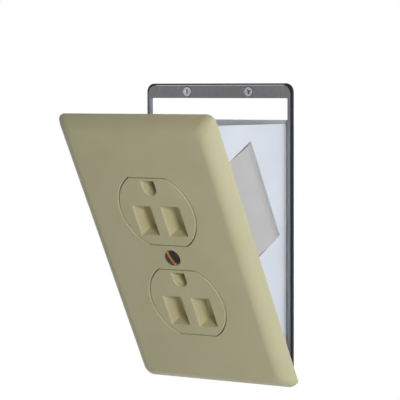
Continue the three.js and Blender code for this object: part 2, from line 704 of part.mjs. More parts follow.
function earShape(side) {
  const proud = openingHalf - 2 * FIT;
  const rear = EAR_ROOT_AT + EAR_LENGTH;
  const shape = new THREE.Shape();
  const at = (x, y) => [x * side, y];
  shape.moveTo(...at(beadX - EAR_ROOT_RADIUS, EAR_ROOT_AT));
  shape.quadraticCurveTo(...at(beadX - EAR_ROOT_RADIUS, EAR_ROOT_AT - EAR_ROOT_RADIUS),
    ...at(beadX, EAR_ROOT_AT - EAR_ROOT_RADIUS));
  shape.quadraticCurveTo(...at(beadX + EAR_ROOT_RADIUS, EAR_ROOT_AT - EAR_ROOT_RADIUS),
    ...at(beadX + EAR_ROOT_RADIUS, EAR_ROOT_AT));
  shape.lineTo(...at(proud, rear - EAR_EDGE_ROUND));
  shape.quadraticCurveTo(...at(proud + 0.1, rear - 0.2), ...at(proud - EAR_THICK, rear));
  shape.lineTo(...at(proud - EAR_THICK, rear - EAR_EDGE_ROUND));
  return shape;
}

function ear(side) {
  const leaf = extrude(earShape(side), EAR_TOP - EAR_BOTTOM, 5);
  leaf.translate(0, 0, EAR_BOTTOM);
  return join(solid(leaf), earPin(side, EAR_PIN_RADIUS));
}

// The ear's pins, or with a larger radius the holes that they turn in
function earPin(side, radius) {
  const reach = radius - EAR_PIN_RADIUS + EAR_PIN_LENGTH;
  const pin = new THREE.CylinderGeometry(radius, radius, EAR_TOP - EAR_BOTTOM + 2 * reach, 12);
  pin.rotateX(Math.PI / 2);
  pin.translate(side * beadX, EAR_ROOT_AT, (EAR_TOP + EAR_BOTTOM) / 2);
  return solid(pin);
}

// The lock's pieces stand along Y in their own frame, with the bar along X and the slot along Z
const lockStack = {
  bushingEnd: LOCK_BOSS_END + FIT + BUSHING_FLANGE_THICK,
};
lockStack.washer = lockStack.bushingEnd + FIT;
lockStack.bar = lockStack.washer + WASHER_THICK + FIT;
lockStack.clip = lockStack.bar + LATCH_THICK + FIT;
lockStack.end = lockStack.clip + CLIP_THICK + SLIP;

function lockScrew() {
  const crown = -PLATE_RISE - LOCK_HEAD_CROWN;
  const coneEnd = LOCK_HEAD_CONE - PLATE_RISE;
  const squareStart = lockStack.bar - SLIP;
  const squareEnd = lockStack.clip - SLIP;
  const head = turned([
    [0, crown],
    [0, squareStart],
    [LOCK_SHANK_RADIUS, squareStart],
    [LOCK_SHANK_RADIUS, coneEnd],
    [LOCK_HEAD_RADIUS, -PLATE_RISE + 0.1],
    [LOCK_HEAD_RADIUS, -PLATE_RISE],
    [LOCK_HEAD_RADIUS * 0.72, -PLATE_RISE - LOCK_HEAD_CROWN * 0.62],
    [LOCK_HEAD_RADIUS * 0.38, -PLATE_RISE - LOCK_HEAD_CROWN * 0.92],
    [0, crown],
  ].reverse(), ROUND);
  const half = LOCK_SQUARE / 2;
  const square = block(-half, half, squareStart - 0.5, squareEnd, -half, half);
  const neck = rodY(LOCK_NECK_RADIUS, LOCK_NECK_RADIUS, squareEnd - 0.2, lockStack.end + 0.1, 0, 0,
    ROUND_SMALL);
  const end = rodY(half, half * 0.9, lockStack.end, lockStack.end + LOCK_END_THICK, 0, 0, ROUND_SMALL);
  const slot = block(-LOCK_SLOT_WIDTH / 2, LOCK_SLOT_WIDTH / 2, crown - 1, crown + LOCK_SLOT_DEPTH,
    -LOCK_HEAD_RADIUS - 1, LOCK_HEAD_RADIUS + 1);
  return join(head, square, neck, end).subtract(slot);
}

function lockBushing() {
  const bore = LOCK_SHANK_RADIUS + FIT;
  const outside = bore + BUSHING_WALL;
  const front = PLATE_SKIN - PLATE_RISE + FIT;
  const flangeFront = LOCK_BOSS_END + FIT;
  return join(
    rodY(outside, outside, front, lockStack.bushingEnd),
    rodY(LOCK_BOSS_RADIUS, LOCK_BOSS_RADIUS, flangeFront, lockStack.bushingEnd),
  ).subtract(rodY(bore, bore, front - 1, lockStack.bushingEnd + 1));
}

// Cone washer that keeps the screw's head pulled into its seat
function lockWasher() {
  const inside = LOCK_SHANK_RADIUS + FIT;
  const y = lockStack.washer;
  const rise = WASHER_THICK / 2;
  return turned([
    [inside, y + rise],
    [WASHER_RADIUS, y],
    [WASHER_RADIUS, y + rise],
    [inside, y + WASHER_THICK],
    [inside, y + rise],
  ]);
}

// Latch bar: a flat arm behind the receptacle cups, cranked forward at both ends so that its
// narrow tips lie directly behind the frame's rails when the door is shut and locked
function latchBar() {
  const tipFront = FIT + SLIP;
  const side = new THREE.Shape();
  const front = lockStack.bar;
  side.moveTo(-latchReach, tipFront);
  side.lineTo(-LATCH_CRANK_END, tipFront);
  side.lineTo(-LATCH_CRANK_START, front);
  side.lineTo(LATCH_CRANK_START, front);
  side.lineTo(LATCH_CRANK_END, tipFront);
  side.lineTo(latchReach, tipFront);
  side.lineTo(latchReach, tipFront + LATCH_THICK);
  side.lineTo(LATCH_CRANK_END, tipFront + LATCH_THICK);
  side.lineTo(LATCH_CRANK_START, front + LATCH_THICK);
  side.lineTo(-LATCH_CRANK_START, front + LATCH_THICK);
  side.lineTo(-LATCH_CRANK_END, tipFront + LATCH_THICK);
  side.lineTo(-latchReach, tipFront + LATCH_THICK);
  const bent = extrude(side, LATCH_HUB_RADIUS * 2);
  bent.translate(0, 0, -LATCH_HUB_RADIUS);

  // The blank: a round hub, two tapered arms and tip ends that are arcs round the screw
  const blank = new THREE.Shape();
  const tip = LATCH_TIP_WIDTH / 2;
  const arm = LATCH_ARM_WIDTH / 2;
  const tipAngle = Math.asin(tip / latchReach);
  const hubAngle = Math.asin(arm / LATCH_HUB_RADIUS);
  blank.absarc(0, 0, latchReach, -tipAngle, tipAngle);
  blank.lineTo(LATCH_CRANK_END, tip);
  blank.absarc(0, 0, LATCH_HUB_RADIUS, hubAngle, Math.PI - hubAngle);
  blank.lineTo(-LATCH_CRANK_END, tip);
  blank.absarc(0, 0, latchReach, Math.PI - tipAngle, Math.PI + tipAngle);
  blank.lineTo(-LATCH_CRANK_END, -tip);
  blank.absarc(0, 0, LATCH_HUB_RADIUS, Math.PI + hubAngle, 2 * Math.PI - hubAngle);
  blank.lineTo(LATCH_CRANK_END, -tip);
  const hole = LOCK_SQUARE / 2 + FIT;
  return solid(bent).intersect(plateOf(blank, -1, front + LATCH_THICK + 1, 6))
    .subtract(block(-hole, hole, front - 1, front + LATCH_THICK + 1, -hole, hole));
}

function lockClip() {
  const y = lockStack.clip;
  const inside = LOCK_NECK_RADIUS + FIT;
  const ring = rodY(CLIP_RADIUS, CLIP_RADIUS, y, y + CLIP_THICK)
    .subtract(rodY(inside, inside, y - 1, y + CLIP_THICK + 1, 0, 0, ROUND_SMALL));
  return ring.subtract(block(-CLIP_MOUTH / 2, CLIP_MOUTH / 2, y - 1, y + CLIP_THICK + 1,
    -CLIP_RADIUS - 1, 0));
}

// Assembly. Every group is centred on the hinge pin, apart from the plate's own pieces.
const safe = new THREE.Group();
const atHinge = new THREE.Group();
atHinge.position.set(0, -HINGE_OUT, -SCREW_LINE);
safe.add(atHinge);

const capRight = part('hinge_pin_cap_right', pinCap(), 'zinc', [capPlace, 0, 0]);
const capLeft = part('hinge_pin_cap_left', pinCap(), 'zinc', [-capPlace, 0, 0]);
capLeft.rotation.z = Math.PI;
atHinge.add(
  part('wall_frame', wallFrame(), 'steel'),
  part('edge_seal', edgeSeal(), 'foam'),
  ...parts('frame_screw', frameScrew(), 'zinc', frameFront, frameScrewPlaces),
  part('hinge_pin', hingePin(), 'zinc'),
  capRight,
  capLeft,
);

const door = new THREE.Group();
door.rotation.x = TILT;
atHinge.add(door);
door.add(part('pocket_shell', pocketShell(), 'white'));

const back = new THREE.Group();
back.rotation.x = -TILT;
door.add(back);
back.add(
  part('rear_cover', rearCover(), 'white'),
  ...parts('rear_cover_screw', rearCoverScrew(), 'zinc', rearScrewBearing, backScrewPlaces),
);

const onPlate = new THREE.Group();
onPlate.position.set(0, HINGE_OUT, hingeDrop);
door.add(onPlate);
onPlate.add(
  part('face_plate', facePlate(), 'ivory'),
  part('receptacle_face_upper', receptacleFace(FACE_PITCH / 2), 'ivory'),
  part('receptacle_face_lower', receptacleFace(-FACE_PITCH / 2), 'ivory'),
  ...parts('receptacle_screw', receptacleScrew(), 'zinc', faceScrewBearing, faceScrewPlaces),
  ...parts('pocket_screw', pocketScrew(), 'zinc', pocketScrewBearing, standOffPlaces),
  part('lock_bushing', lockBushing(), 'brass'),
  part('side_ear_right', ear(1), 'white'),
  part('side_ear_left', ear(-1), 'white'),
);

const lock = new THREE.Group();
lock.rotation.y = -UNLOCKED;
onPlate.add(lock);
lock.add(
  part('lock_screw', lockScrew(), 'blackened'),
  part('lock_washer', lockWasher(), 'steel'),
  part('latch_bar', latchBar(), 'steel'),
  part('lock_clip', lockClip(), 'steel'),
);

export default safe;
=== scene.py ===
"""The looks of a wall safe disguised as a duplex outlet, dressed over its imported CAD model.

Everything is in metres in the CAD model's frame: X to the right, -Y out of the wall, +Z up. Shapes
are drawn in millimetres in the frame of the piece that carries them, and placed as they are made.
"""

import json
import math

import bmesh
import bpy
from mathutils import Matrix, Vector

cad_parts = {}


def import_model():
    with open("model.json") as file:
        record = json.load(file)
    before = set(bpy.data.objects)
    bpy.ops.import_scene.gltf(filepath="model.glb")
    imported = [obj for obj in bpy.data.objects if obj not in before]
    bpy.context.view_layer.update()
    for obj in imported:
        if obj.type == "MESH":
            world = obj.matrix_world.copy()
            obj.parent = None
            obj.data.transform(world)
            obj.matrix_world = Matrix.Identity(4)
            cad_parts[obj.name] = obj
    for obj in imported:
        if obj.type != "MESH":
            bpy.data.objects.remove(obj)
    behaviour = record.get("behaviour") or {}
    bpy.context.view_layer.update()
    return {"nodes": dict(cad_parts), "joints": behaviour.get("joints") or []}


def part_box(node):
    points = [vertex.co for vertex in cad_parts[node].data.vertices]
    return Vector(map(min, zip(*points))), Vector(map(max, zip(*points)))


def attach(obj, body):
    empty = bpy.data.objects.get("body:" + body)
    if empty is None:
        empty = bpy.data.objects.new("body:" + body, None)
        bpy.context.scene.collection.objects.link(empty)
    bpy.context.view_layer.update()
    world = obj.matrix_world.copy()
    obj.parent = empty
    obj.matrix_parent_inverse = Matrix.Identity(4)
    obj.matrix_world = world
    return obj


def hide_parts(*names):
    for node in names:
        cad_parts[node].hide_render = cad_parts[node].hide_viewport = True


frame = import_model()
NODES = frame["nodes"]
JOINTS = {joint["name"]: joint for joint in frame["joints"]}

MM = 0.001

# Sizes in millimetres, the same as the CAD model's
PLATE_HEIGHT = 114.3
PLATE_WIDTH = (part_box("face_plate")[1].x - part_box("face_plate")[0].x) / MM
PLATE_RISE = 5.0
PLATE_SKIN = 2.0
PLATE_RIM_WALL = 1.5
PLATE_CORNER = 3.4
PLATE_EDGE_FLAT = 0.5
PLATE_ROLL_OFF = 6.5
PLATE_OFF_WALL = 0.2
HINGE_INSET = 3.4
HINGE_OUT = 1.4
HINGE_UP = PLATE_HEIGHT / 2 - HINGE_INSET
KNUCKLE_RADIUS = 1.2
KNUCKLE_SPAN = 56.0
KNUCKLE_END = 9.0
KNUCKLE_MIDDLE = 9.0
KNUCKLE_GAP = 0.4
PIN_CAP_LENGTH = 2.2
PIN_BORE = 0.8
FACE_PITCH = 38.8
FACE_RADIUS = 16.2
FACE_FLAT = 14.0
FACE_GROOVE = 0.3
FACE_FLANGE = 1.5
FACE_FLANGE_THICK = 1.2
FACE_EAR_RADIUS = 2.6
FACE_EAR_REACH = 20.4
FACE_SCREW_RADIUS = 0.8
FACE_SCREW_HEAD = 1.6
FACE_SCREW_HEAD_THICK = 1.0
FACE_SCREW_LENGTH = 2.8
FACE_SCREW_BITE = 1.0
SLOT_PITCH = 12.7
SLOT_WIDTH = 8.0
SLOT_HEIGHT = 12.3
SLOT_DROP = 3.8
SLOT_DEPTH = 6.0
SLOT_TAPER_X = 1.5
SLOT_TAPER_Z = 1.1
CUP_WALL = 1.2
GROUND_WIDTH = 5.6
GROUND_TOP = 12.9
GROUND_BOTTOM = 7.0
GROUND_TAPER = 0.9
STAND_OFF_X = 22.0
STAND_OFF_HIGH = 42.0
STAND_OFF_LOW = -28.0
STAND_OFF_RADIUS = 3.4
POCKET_FRONT_AT = 6.3
POCKET_FRONT_THICK = 1.6
POCKET_SCREW_RADIUS = 1.4
POCKET_SCREW_HEAD = 2.4
POCKET_SCREW_HEAD_THICK = 1.8
POCKET_SCREW_LENGTH = 8.0
BACK_SCREW_RADIUS = 1.1
BACK_SCREW_HEAD = 2.2
BACK_SCREW_HEAD_THICK = 1.4
BACK_SCREW_LENGTH = 5.8
FRAME_SCREW_RADIUS = 1.1
FRAME_SCREW_HEAD = 1.8
FRAME_SCREW_LENGTH = 20.0
FRAME_SCREW_TIP = 3.0
LOCK_HEAD_RADIUS = 3.0
LOCK_HEAD_CROWN = 0.8
LOCK_HEAD_CONE = 1.7
LOCK_SHANK_RADIUS = 1.75
LOCK_SLOT_WIDTH = 0.8
LOCK_SLOT_DEPTH = 1.0
LOCK_SQUARE = 2.6
LOCK_NECK_RADIUS = 1.1
LOCK_SHANK_END = 2.7
LOCK_SQUARE_END = 4.3
LOCK_NECK_END = 5.4
LOCK_END = 5.8
LOCK_BOSS_RADIUS = 3.5
LOCK_BOSS_END = 0.9
BUSHING_WALL = 0.55
EAR_BOTTOM = -4.6
EAR_TOP = 34.2
EAR_ROOT_AT = 6.3
EAR_LENGTH = 14.8
EAR_THICK = 1.5
EAR_ROOT_RADIUS = 0.9
EAR_BEAD = 28.6
EAR_PROUD = 30.6
EAR_PIN_RADIUS = 0.5
EAR_PIN_LENGTH = 1.4
FIT = 0.3

# Softness of moulded, pressed and thin edges
RIM_EDGE = 0.12
GROOVE_ROUND = 0.4
SLOT_ROUND = 0.35
SLOT_CORNER = 0.35
SLOT_FLOOR_ROUND = 0.5
PRESSED_EDGE = 0.12
THIN_EDGE = 0.08
WASHER_EDGE = 0.05
MOULDED_EDGE = 0.3
EAR_EDGE = 0.2
EAR_ROLL = 5.6
EAR_ROLL_IN = 1.1
EAR_ROLL_CROWN = 0.15
EAR_LIP = 2.4

# How far a post runs into the skin that carries it, and a cut past what it cuts
SINK = 0.8
OVERCUT = 1.0

# Rolled thread and cross recess of the screws
THREAD_START = 2.8
THREAD_PITCH = 1.0
THREAD_DEPTH = 0.28
THREAD_ROWS = 6
RECESS_BLADE = 0.24
RECESS_FOOT = 0.45

TILT = -math.radians(JOINTS["door_tilt"]["range_deg"][0])
UNLOCKED = -math.radians(JOINTS["lock_turn"]["range_deg"][0])
HINGE = Vector(JOINTS["door_tilt"]["pos_m"])
TO_METRES = Matrix.Scale(MM, 4)
DOOR = Matrix.Translation(HINGE) @ Matrix.Rotation(TILT, 4, "X") @ TO_METRES
PLATE = DOOR @ Matrix.Translation((0, HINGE_OUT, HINGE_UP))
LOCK = PLATE @ Matrix.Rotation(-UNLOCKED, 4, "Y")
WALL = Matrix.Translation(HINGE) @ TO_METRES


# Materials


def rgb(red, green, blue):
    """A display colour of 0 to 255 as the linear colour that a shader takes."""
    def linear(value):
        value /= 255
        return value / 12.92 if value <= 0.04045 else ((value + 0.055) / 1.055) ** 2.4
    return (linear(red), linear(green), linear(blue), 1)


def group(name, inputs, outputs):
    """An empty shader node group with float inputs given as (name, default), and its ends."""
    tree = bpy.data.node_groups.new(name, "ShaderNodeTree")
    for title, default in inputs:
        socket = tree.interface.new_socket(title, in_out="INPUT", socket_type="NodeSocketFloat")
        socket.default_value = default
    for title in outputs:
        tree.interface.new_socket(title, in_out="OUTPUT", socket_type="NodeSocketFloat")
    return tree, tree.nodes.new("NodeGroupInput"), tree.nodes.new("NodeGroupOutput")


def link(tree, source, target):
    tree.links.new(source, target)


def maths(tree, operation, first, second=None, clamp=False):
    """A Math node whose inputs are sockets or numbers; returns its output."""
    node = tree.nodes.new("ShaderNodeMath")
    node.operation = operation
    node.use_clamp = clamp
    for index, value in enumerate((first, second)):
        if value is None:
            continue
        if isinstance(value, (int, float)):
            node.inputs[index].default_value = value
        else:
            link(tree, value, node.inputs[index])
    return node.outputs[0]


def noise(tree, vector, scale, detail=2.0, roughness=0.5):
    node = tree.nodes.new("ShaderNodeTexNoise")
    node.inputs["Detail"].default_value = detail
    node.inputs["Roughness"].default_value = roughness
    if isinstance(scale, (int, float)):
        node.inputs["Scale"].default_value = scale
    else:
        link(tree, scale, node.inputs["Scale"])
    link(tree, vector, node.inputs["Vector"])
    return node.outputs["Fac"]


def remap(tree, value, low, high, to_low=0.0, to_high=1.0):
    node = tree.nodes.new("ShaderNodeMapRange")
    node.interpolation_type = "SMOOTHSTEP"
    for index, number in zip((1, 2, 3, 4), (low, high, to_low, to_high)):
        node.inputs[index].default_value = number
    link(tree, value, node.inputs[0])
    return node.outputs[0]


def moulded_skin_group():
    """Fine tool texture and slow flow waves of a moulded plastic face."""
    tree, start, end = group("moulded_skin", [("Grain Scale", 2600.0), ("Wave Scale", 55.0)],
                             ["Height", "Flow", "Speck"])
    place = tree.nodes.new("ShaderNodeTexCoord").outputs["Object"]
    grain = noise(tree, place, start.outputs["Grain Scale"], 3.0, 0.6)
    wave = noise(tree, place, start.outputs["Wave Scale"], 1.0, 0.4)
    speck = remap(tree, noise(tree, place, 900.0, 2.0), 0.64, 0.74)
    height = maths(tree, "ADD", maths(tree, "MULTIPLY", wave, 0.3), grain)
    link(tree, height, end.inputs["Height"])
    link(tree, wave, end.inputs["Flow"])
    link(tree, speck, end.inputs["Speck"])
    return tree


def handling_group():
    """Faint smears and hair scratches of a thing that has been handled."""
    tree, start, end = group("handling_marks", [("Smear Scale", 120.0), ("Scratch Scale", 500.0)],
                             ["Smear", "Scratch"])
    place = tree.nodes.new("ShaderNodeTexCoord").outputs["Object"]
    smear = remap(tree, noise(tree, place, start.outputs["Smear Scale"], 4.0, 0.65), 0.42, 0.72)
    stretch = tree.nodes.new("ShaderNodeMapping")
    stretch.inputs["Scale"].default_value = (1.0, 0.12, 0.09)
    stretch.inputs["Rotation"].default_value = (0.3, 0.5, 0.2)
    link(tree, place, stretch.inputs["Vector"])
    lines = noise(tree, stretch.outputs[0], start.outputs["Scratch Scale"], 3.0, 0.7)
    link(tree, smear, end.inputs["Smear"])
    link(tree, remap(tree, lines, 0.66, 0.7), end.inputs["Scratch"])
    return tree


def metal_grain_group():
    """Drawn lines and crystalline mottling of plated metal."""
    tree, start, end = group("metal_grain", [("Line Scale", 1800.0), ("Patch Scale", 420.0)],
                             ["Lines", "Patches"])
    place = tree.nodes.new("ShaderNodeTexCoord").outputs["Object"]
    stretch = tree.nodes.new("ShaderNodeMapping")
    stretch.inputs["Scale"].default_value = (0.04, 1.0, 1.0)
    link(tree, place, stretch.inputs["Vector"])
    link(tree, noise(tree, stretch.outputs[0], start.outputs["Line Scale"], 3.0), end.inputs["Lines"])
    link(tree, noise(tree, place, start.outputs["Patch Scale"], 2.0), end.inputs["Patches"])
    return tree


GROUPS = {
    "skin": moulded_skin_group(),
    "marks": handling_group(),
    "metal": metal_grain_group(),
}


def placed(tree, key, **values):
    """A copy of a shared group in a material, with its own values."""
    node = tree.nodes.new("ShaderNodeGroup")
    node.node_tree = GROUPS[key]
    for title, value in values.items():
        node.inputs[title.replace("_", " ")].default_value = value
    return node


def mix(tree, factor, first, second):
    """A colour mix; the colours are sockets or display colours."""
    node = tree.nodes.new("ShaderNodeMix")
    node.data_type = "RGBA"
    link(tree, factor, node.inputs[0])
    for index, value in ((6, first), (7, second)):
        if isinstance(value, tuple):
            node.inputs[index].default_value = value
        else:
            link(tree, value, node.inputs[index])
    return node.outputs[2]


def bump(tree, shader, height, distance, strength=1.0):
    node = tree.nodes.new("ShaderNodeBump")
    node.inputs["Strength"].default_value = strength
    node.inputs["Distance"].default_value = distance
    link(tree, height, node.inputs["Height"])
    link(tree, node.outputs[0], shader.inputs["Normal"])


def new_material(name, **sockets):
    material = bpy.data.materials.new(name)
    material.use_nodes = True
    shader = material.node_tree.nodes["Principled BSDF"]
    for title, value in sockets.items():
        shader.inputs[title.replace("_", " ")].default_value = value
    return material, material.node_tree, shader


def ivory_plastic():
    material, tree, shader = new_material("ivory_plastic", Metallic=0.0, IOR=1.5)
    skin = placed(tree, "skin", Grain_Scale=2400.0, Wave_Scale=60.0)
    marks = placed(tree, "marks", Smear_Scale=90.0)
    cloud = remap(tree, skin.outputs["Flow"], 0.3, 0.7)
    colour = mix(tree, cloud, rgb(208, 201, 160), rgb(212, 205, 165))
    fleck = maths(tree, "MULTIPLY", skin.outputs["Speck"], 0.1)
    colour = mix(tree, fleck, colour, rgb(196, 184, 136))
    link(tree, colour, shader.inputs["Base Color"])
    gloss = maths(tree, "ADD", 0.40, maths(tree, "MULTIPLY", marks.outputs["Smear"], 0.06))
    link(tree, gloss, shader.inputs["Roughness"])
    bump(tree, shader, skin.outputs["Height"], 0.00002, 0.5)
    return material


def white_plastic():
    material, tree, shader = new_material("white_plastic", Metallic=0.0, IOR=1.47)
    skin = placed(tree, "skin", Grain_Scale=3000.0, Wave_Scale=40.0)
    marks = placed(tree, "marks", Smear_Scale=70.0)
    cloud = remap(tree, skin.outputs["Flow"], 0.3, 0.7)
    colour = mix(tree, cloud, rgb(231, 234, 240), rgb(238, 240, 245))
    faint = maths(tree, "MULTIPLY", marks.outputs["Scratch"], 0.12)
    colour = mix(tree, faint, colour, rgb(196, 199, 206))
    link(tree, colour, shader.inputs["Base Color"])
    gloss = maths(tree, "ADD", 0.44, maths(tree, "MULTIPLY", marks.outputs["Smear"], 0.12))
    link(tree, gloss, shader.inputs["Roughness"])
    bump(tree, shader, skin.outputs["Height"], 0.00003, 0.5)
    return material


def shaded_ear_plastic():
    """The ears share the pocket's white plastic; their colour is painted darker and warmer for the shade
    on their faces, and they are a little more matt.
    """
    material, tree, shader = new_material("shaded_ear_plastic", Metallic=0.0, IOR=1.47)
    skin = placed(tree, "skin", Grain_Scale=1800.0, Wave_Scale=90.0)
    marks = placed(tree, "marks", Smear_Scale=140.0)
    cloud = remap(tree, skin.outputs["Flow"], 0.3, 0.7)
    # Darker and warmer than the pocket's white: painted shade on the ears' faces
    colour = mix(tree, cloud, rgb(200, 195, 191), rgb(204, 200, 197))
    link(tree, colour, shader.inputs["Base Color"])
    gloss = maths(tree, "ADD", 0.5, maths(tree, "MULTIPLY", marks.outputs["Smear"], 0.1))
    link(tree, gloss, shader.inputs["Roughness"])
    bump(tree, shader, skin.outputs["Height"], 0.00004, 0.5)
    return material


def frame_paint():
    """Dark grey satin coat, thin enough to shine a little on its pressed edges."""
    material, tree, shader = new_material("frame_paint", Metallic=0.2, IOR=1.5)
    metal = placed(tree, "metal", Line_Scale=900.0, Patch_Scale=600.0)
    marks = placed(tree, "marks", Smear_Scale=160.0, Scratch_Scale=700.0)
    colour = mix(tree, metal.outputs["Patches"], rgb(134, 136, 140), rgb(148, 150, 154))
    worn = maths(tree, "MULTIPLY", marks.outputs["Scratch"], 0.45)
    colour = mix(tree, worn, colour, rgb(182, 184, 187))
    link(tree, colour, shader.inputs["Base Color"])
    gloss = maths(tree, "ADD", 0.38, maths(tree, "MULTIPLY", marks.outputs["Smear"], 0.14))
    link(tree, gloss, shader.inputs["Roughness"])
    bump(tree, shader, metal.outputs["Patches"], 0.00004, 0.35)
    return material


def black_foam():
    """Closed-cell foam: small open bubbles cut through along its faces."""
    material, tree, shader = new_material("black_foam", Metallic=0.0, IOR=1.4)
    place = tree.nodes.new("ShaderNodeTexCoord").outputs["Object"]
    cells = tree.nodes.new("ShaderNodeTexVoronoi")
    cells.inputs["Scale"].default_value = 2600.0
    link(tree, place, cells.inputs["Vector"])
    bubble_depth_and_shade = remap(tree, cells.outputs["Distance"], 0.0, 0.55)
    # The open bubbles are painted darker towards their middles: painted shade in their hollows
    link(tree, mix(tree, bubble_depth_and_shade, rgb(22, 22, 24), rgb(52, 52, 55)), shader.inputs["Base Color"])
    shader.inputs["Roughness"].default_value = 0.9
    bump(tree, shader, bubble_depth_and_shade, 0.00012, 0.8)
    return material


def plated_steel(name, bright, dull, roughness):
    material, tree, shader = new_material(name, Metallic=1.0)
    metal = placed(tree, "metal", Line_Scale=2200.0, Patch_Scale=700.0)
    marks = placed(tree, "marks", Smear_Scale=300.0, Scratch_Scale=1400.0)
    colour = mix(tree, metal.outputs["Patches"], dull, bright)
    colour = mix(tree, maths(tree, "MULTIPLY", marks.outputs["Smear"], 0.3), colour, dull)
    link(tree, colour, shader.inputs["Base Color"])
    gloss = maths(tree, "ADD", roughness, maths(tree, "MULTIPLY", metal.outputs["Lines"], 0.16))
    link(tree, gloss, shader.inputs["Roughness"])
    bump(tree, shader, metal.outputs["Lines"], 0.00002, 0.4)
    return material


def turned_brass():
    material, tree, shader = new_material("turned_brass", Metallic=1.0)
    metal = placed(tree, "metal", Line_Scale=2600.0, Patch_Scale=500.0)
    colour = mix(tree, metal.outputs["Patches"], rgb(176, 132, 62), rgb(206, 166, 92))
    link(tree, colour, shader.inputs["Base Color"])
    gloss = maths(tree, "ADD", 0.24, maths(tree, "MULTIPLY", metal.outputs["Lines"], 0.14))
    link(tree, gloss, shader.inputs["Roughness"])
    bump(tree, shader, metal.outputs["Lines"], 0.00002, 0.4)
    return material


def blackened_brass():
    """The lock screw: brass under a black finish that the driver has worn out of the slot; the slot is
    painted lighter than bare brass, a painted highlight in its dark recess.
    """
    material, tree, shader = new_material("blackened_brass", IOR=1.45)
    place = tree.nodes.new("ShaderNodeTexCoord").outputs["Object"]
    local = tree.nodes.new("ShaderNodeMapping")
    local.vector_type = "TEXTURE"
    local.inputs["Location"].default_value = LOCK.translation
    local.inputs["Rotation"].default_value = (Matrix.Rotation(TILT, 3, "X")
                                              @ Matrix.Rotation(-UNLOCKED, 3, "Y")).to_euler()
    link(tree, place, local.inputs["Vector"])
    split = tree.nodes.new("ShaderNodeSeparateXYZ")
    link(tree, local.outputs[0], split.inputs[0])
    off_slot = maths(tree, "ABSOLUTE", split.outputs["X"])
    half = LOCK_SLOT_WIDTH / 2 * MM
    slot_brass_and_highlight = remap(tree, off_slot, half * 1.02, half * 1.22, 1.0, 0.0)
    marks = placed(tree, "marks", Smear_Scale=700.0, Scratch_Scale=2400.0)
    worn = maths(tree, "MULTIPLY", marks.outputs["Scratch"], 0.35)
    colour = mix(tree, worn, rgb(18, 15, 14), rgb(96, 66, 38))
    # The slot's brass is painted lighter than the brass itself: a painted highlight down in the recess
    colour = mix(tree, slot_brass_and_highlight, colour, rgb(238, 196, 126))
    link(tree, colour, shader.inputs["Base Color"])
    link(tree, maths(tree, "ADD", 0.1, maths(tree, "MULTIPLY", slot_brass_and_highlight, 0.8)), shader.inputs["Metallic"])
    gloss = maths(tree, "ADD", 0.36, maths(tree, "MULTIPLY", marks.outputs["Smear"], 0.12))
    link(tree, gloss, shader.inputs["Roughness"])
    return material


IVORY = ivory_plastic()
WHITE = white_plastic()
EAR_SHADED_WHITE = shaded_ear_plastic()
PAINT = frame_paint()
FOAM = black_foam()
ZINC = plated_steel("zinc_plate", rgb(196, 198, 202), rgb(150, 153, 158), 0.26)
PIN_STEEL = plated_steel("bright_steel", rgb(205, 206, 208), rgb(168, 170, 173), 0.2)
LATCH_STEEL = plated_steel("latch_zinc", rgb(188, 189, 188), rgb(140, 142, 143), 0.32)
BRASS = turned_brass()
LOCK_FINISH = blackened_brass()


# Meshes


def new_object(name, mesh):
    piece = bpy.data.objects.new(name, mesh)
    bpy.context.scene.collection.objects.link(piece)
    return piece


def from_bmesh(name, shape, place=None):
    if place is not None:
        bmesh.ops.transform(shape, matrix=place, verts=shape.verts)
    bmesh.ops.recalc_face_normals(shape, faces=shape.faces)
    mesh = bpy.data.meshes.new(name)
    shape.to_mesh(mesh)
    shape.free()
    return new_object(name, mesh)


def loft(name, rings, place):
    """A closed skin over rings of (x, y, z) points with equal counts, capped at both ends."""
    shape = bmesh.new()
    rows = [[shape.verts.new(point) for point in ring] for ring in rings]
    count = len(rows[0])
    for lower, upper in zip(rows, rows[1:]):
        for i in range(count):
            j = (i + 1) % count
            shape.faces.new((lower[i], lower[j], upper[j], upper[i]))
    shape.faces.new(rows[0])
    shape.faces.new(rows[-1])
    return from_bmesh(name, shape, place)


def at_depth(outline, y):
    """An (x, z) outline as a ring at one depth behind the plate's rim plane."""
    return [(x, y, z) for x, z in outline]


def arc(centre_x, centre_z, radius, start, end, steps):
    """Points from one angle to another, in degrees, both ends included."""
    points = []
    for step in range(steps + 1):
        angle = math.radians(start + (end - start) * step / steps)
        points.append((centre_x + radius * math.cos(angle), centre_z + radius * math.sin(angle)))
    return points


def rounded_rectangle(half_x, half_z, radius, steps=10, centre=(0.0, 0.0)):
    points = []
    for side_x, side_z, start in ((1, 1, 0), (-1, 1, 90), (-1, -1, 180), (1, -1, 270)):
        points += arc(centre[0] + side_x * (half_x - radius), centre[1] + side_z * (half_z - radius),
                      radius, start, start + 90, steps)
    return points


def duplex_outline(margin, centre, steps=44):
    """A circle with its top and bottom cut flat, grown by a margin."""
    radius = FACE_RADIUS + margin
    corner = math.degrees(math.asin((FACE_FLAT + margin) / radius))
    return (arc(0, centre, radius, -corner, corner, steps)
            + arc(0, centre, radius, 180 - corner, 180 + corner, steps))


def ground_outline(margin, centre, steps=20):
    half = GROUND_WIDTH / 2 + margin
    arc_centre = centre + GROUND_BOTTOM + GROUND_WIDTH / 2
    top = centre + GROUND_TOP + margin
    return ([(half, top), (-half, top)]
            + arc(0, arc_centre, half, 180, 360, steps))


def disc(radius, steps=48, centre=(0.0, 0.0)):
    return arc(centre[0], centre[1], radius, 0, 360 * (steps - 1) / steps, steps - 1)


def rod(name, radius, y0, y1, place, x=0.0, z=0.0, steps=40):
    outline = disc(radius, steps, (x, z))
    return loft(name, [at_depth(outline, y0), at_depth(outline, y1)], place)


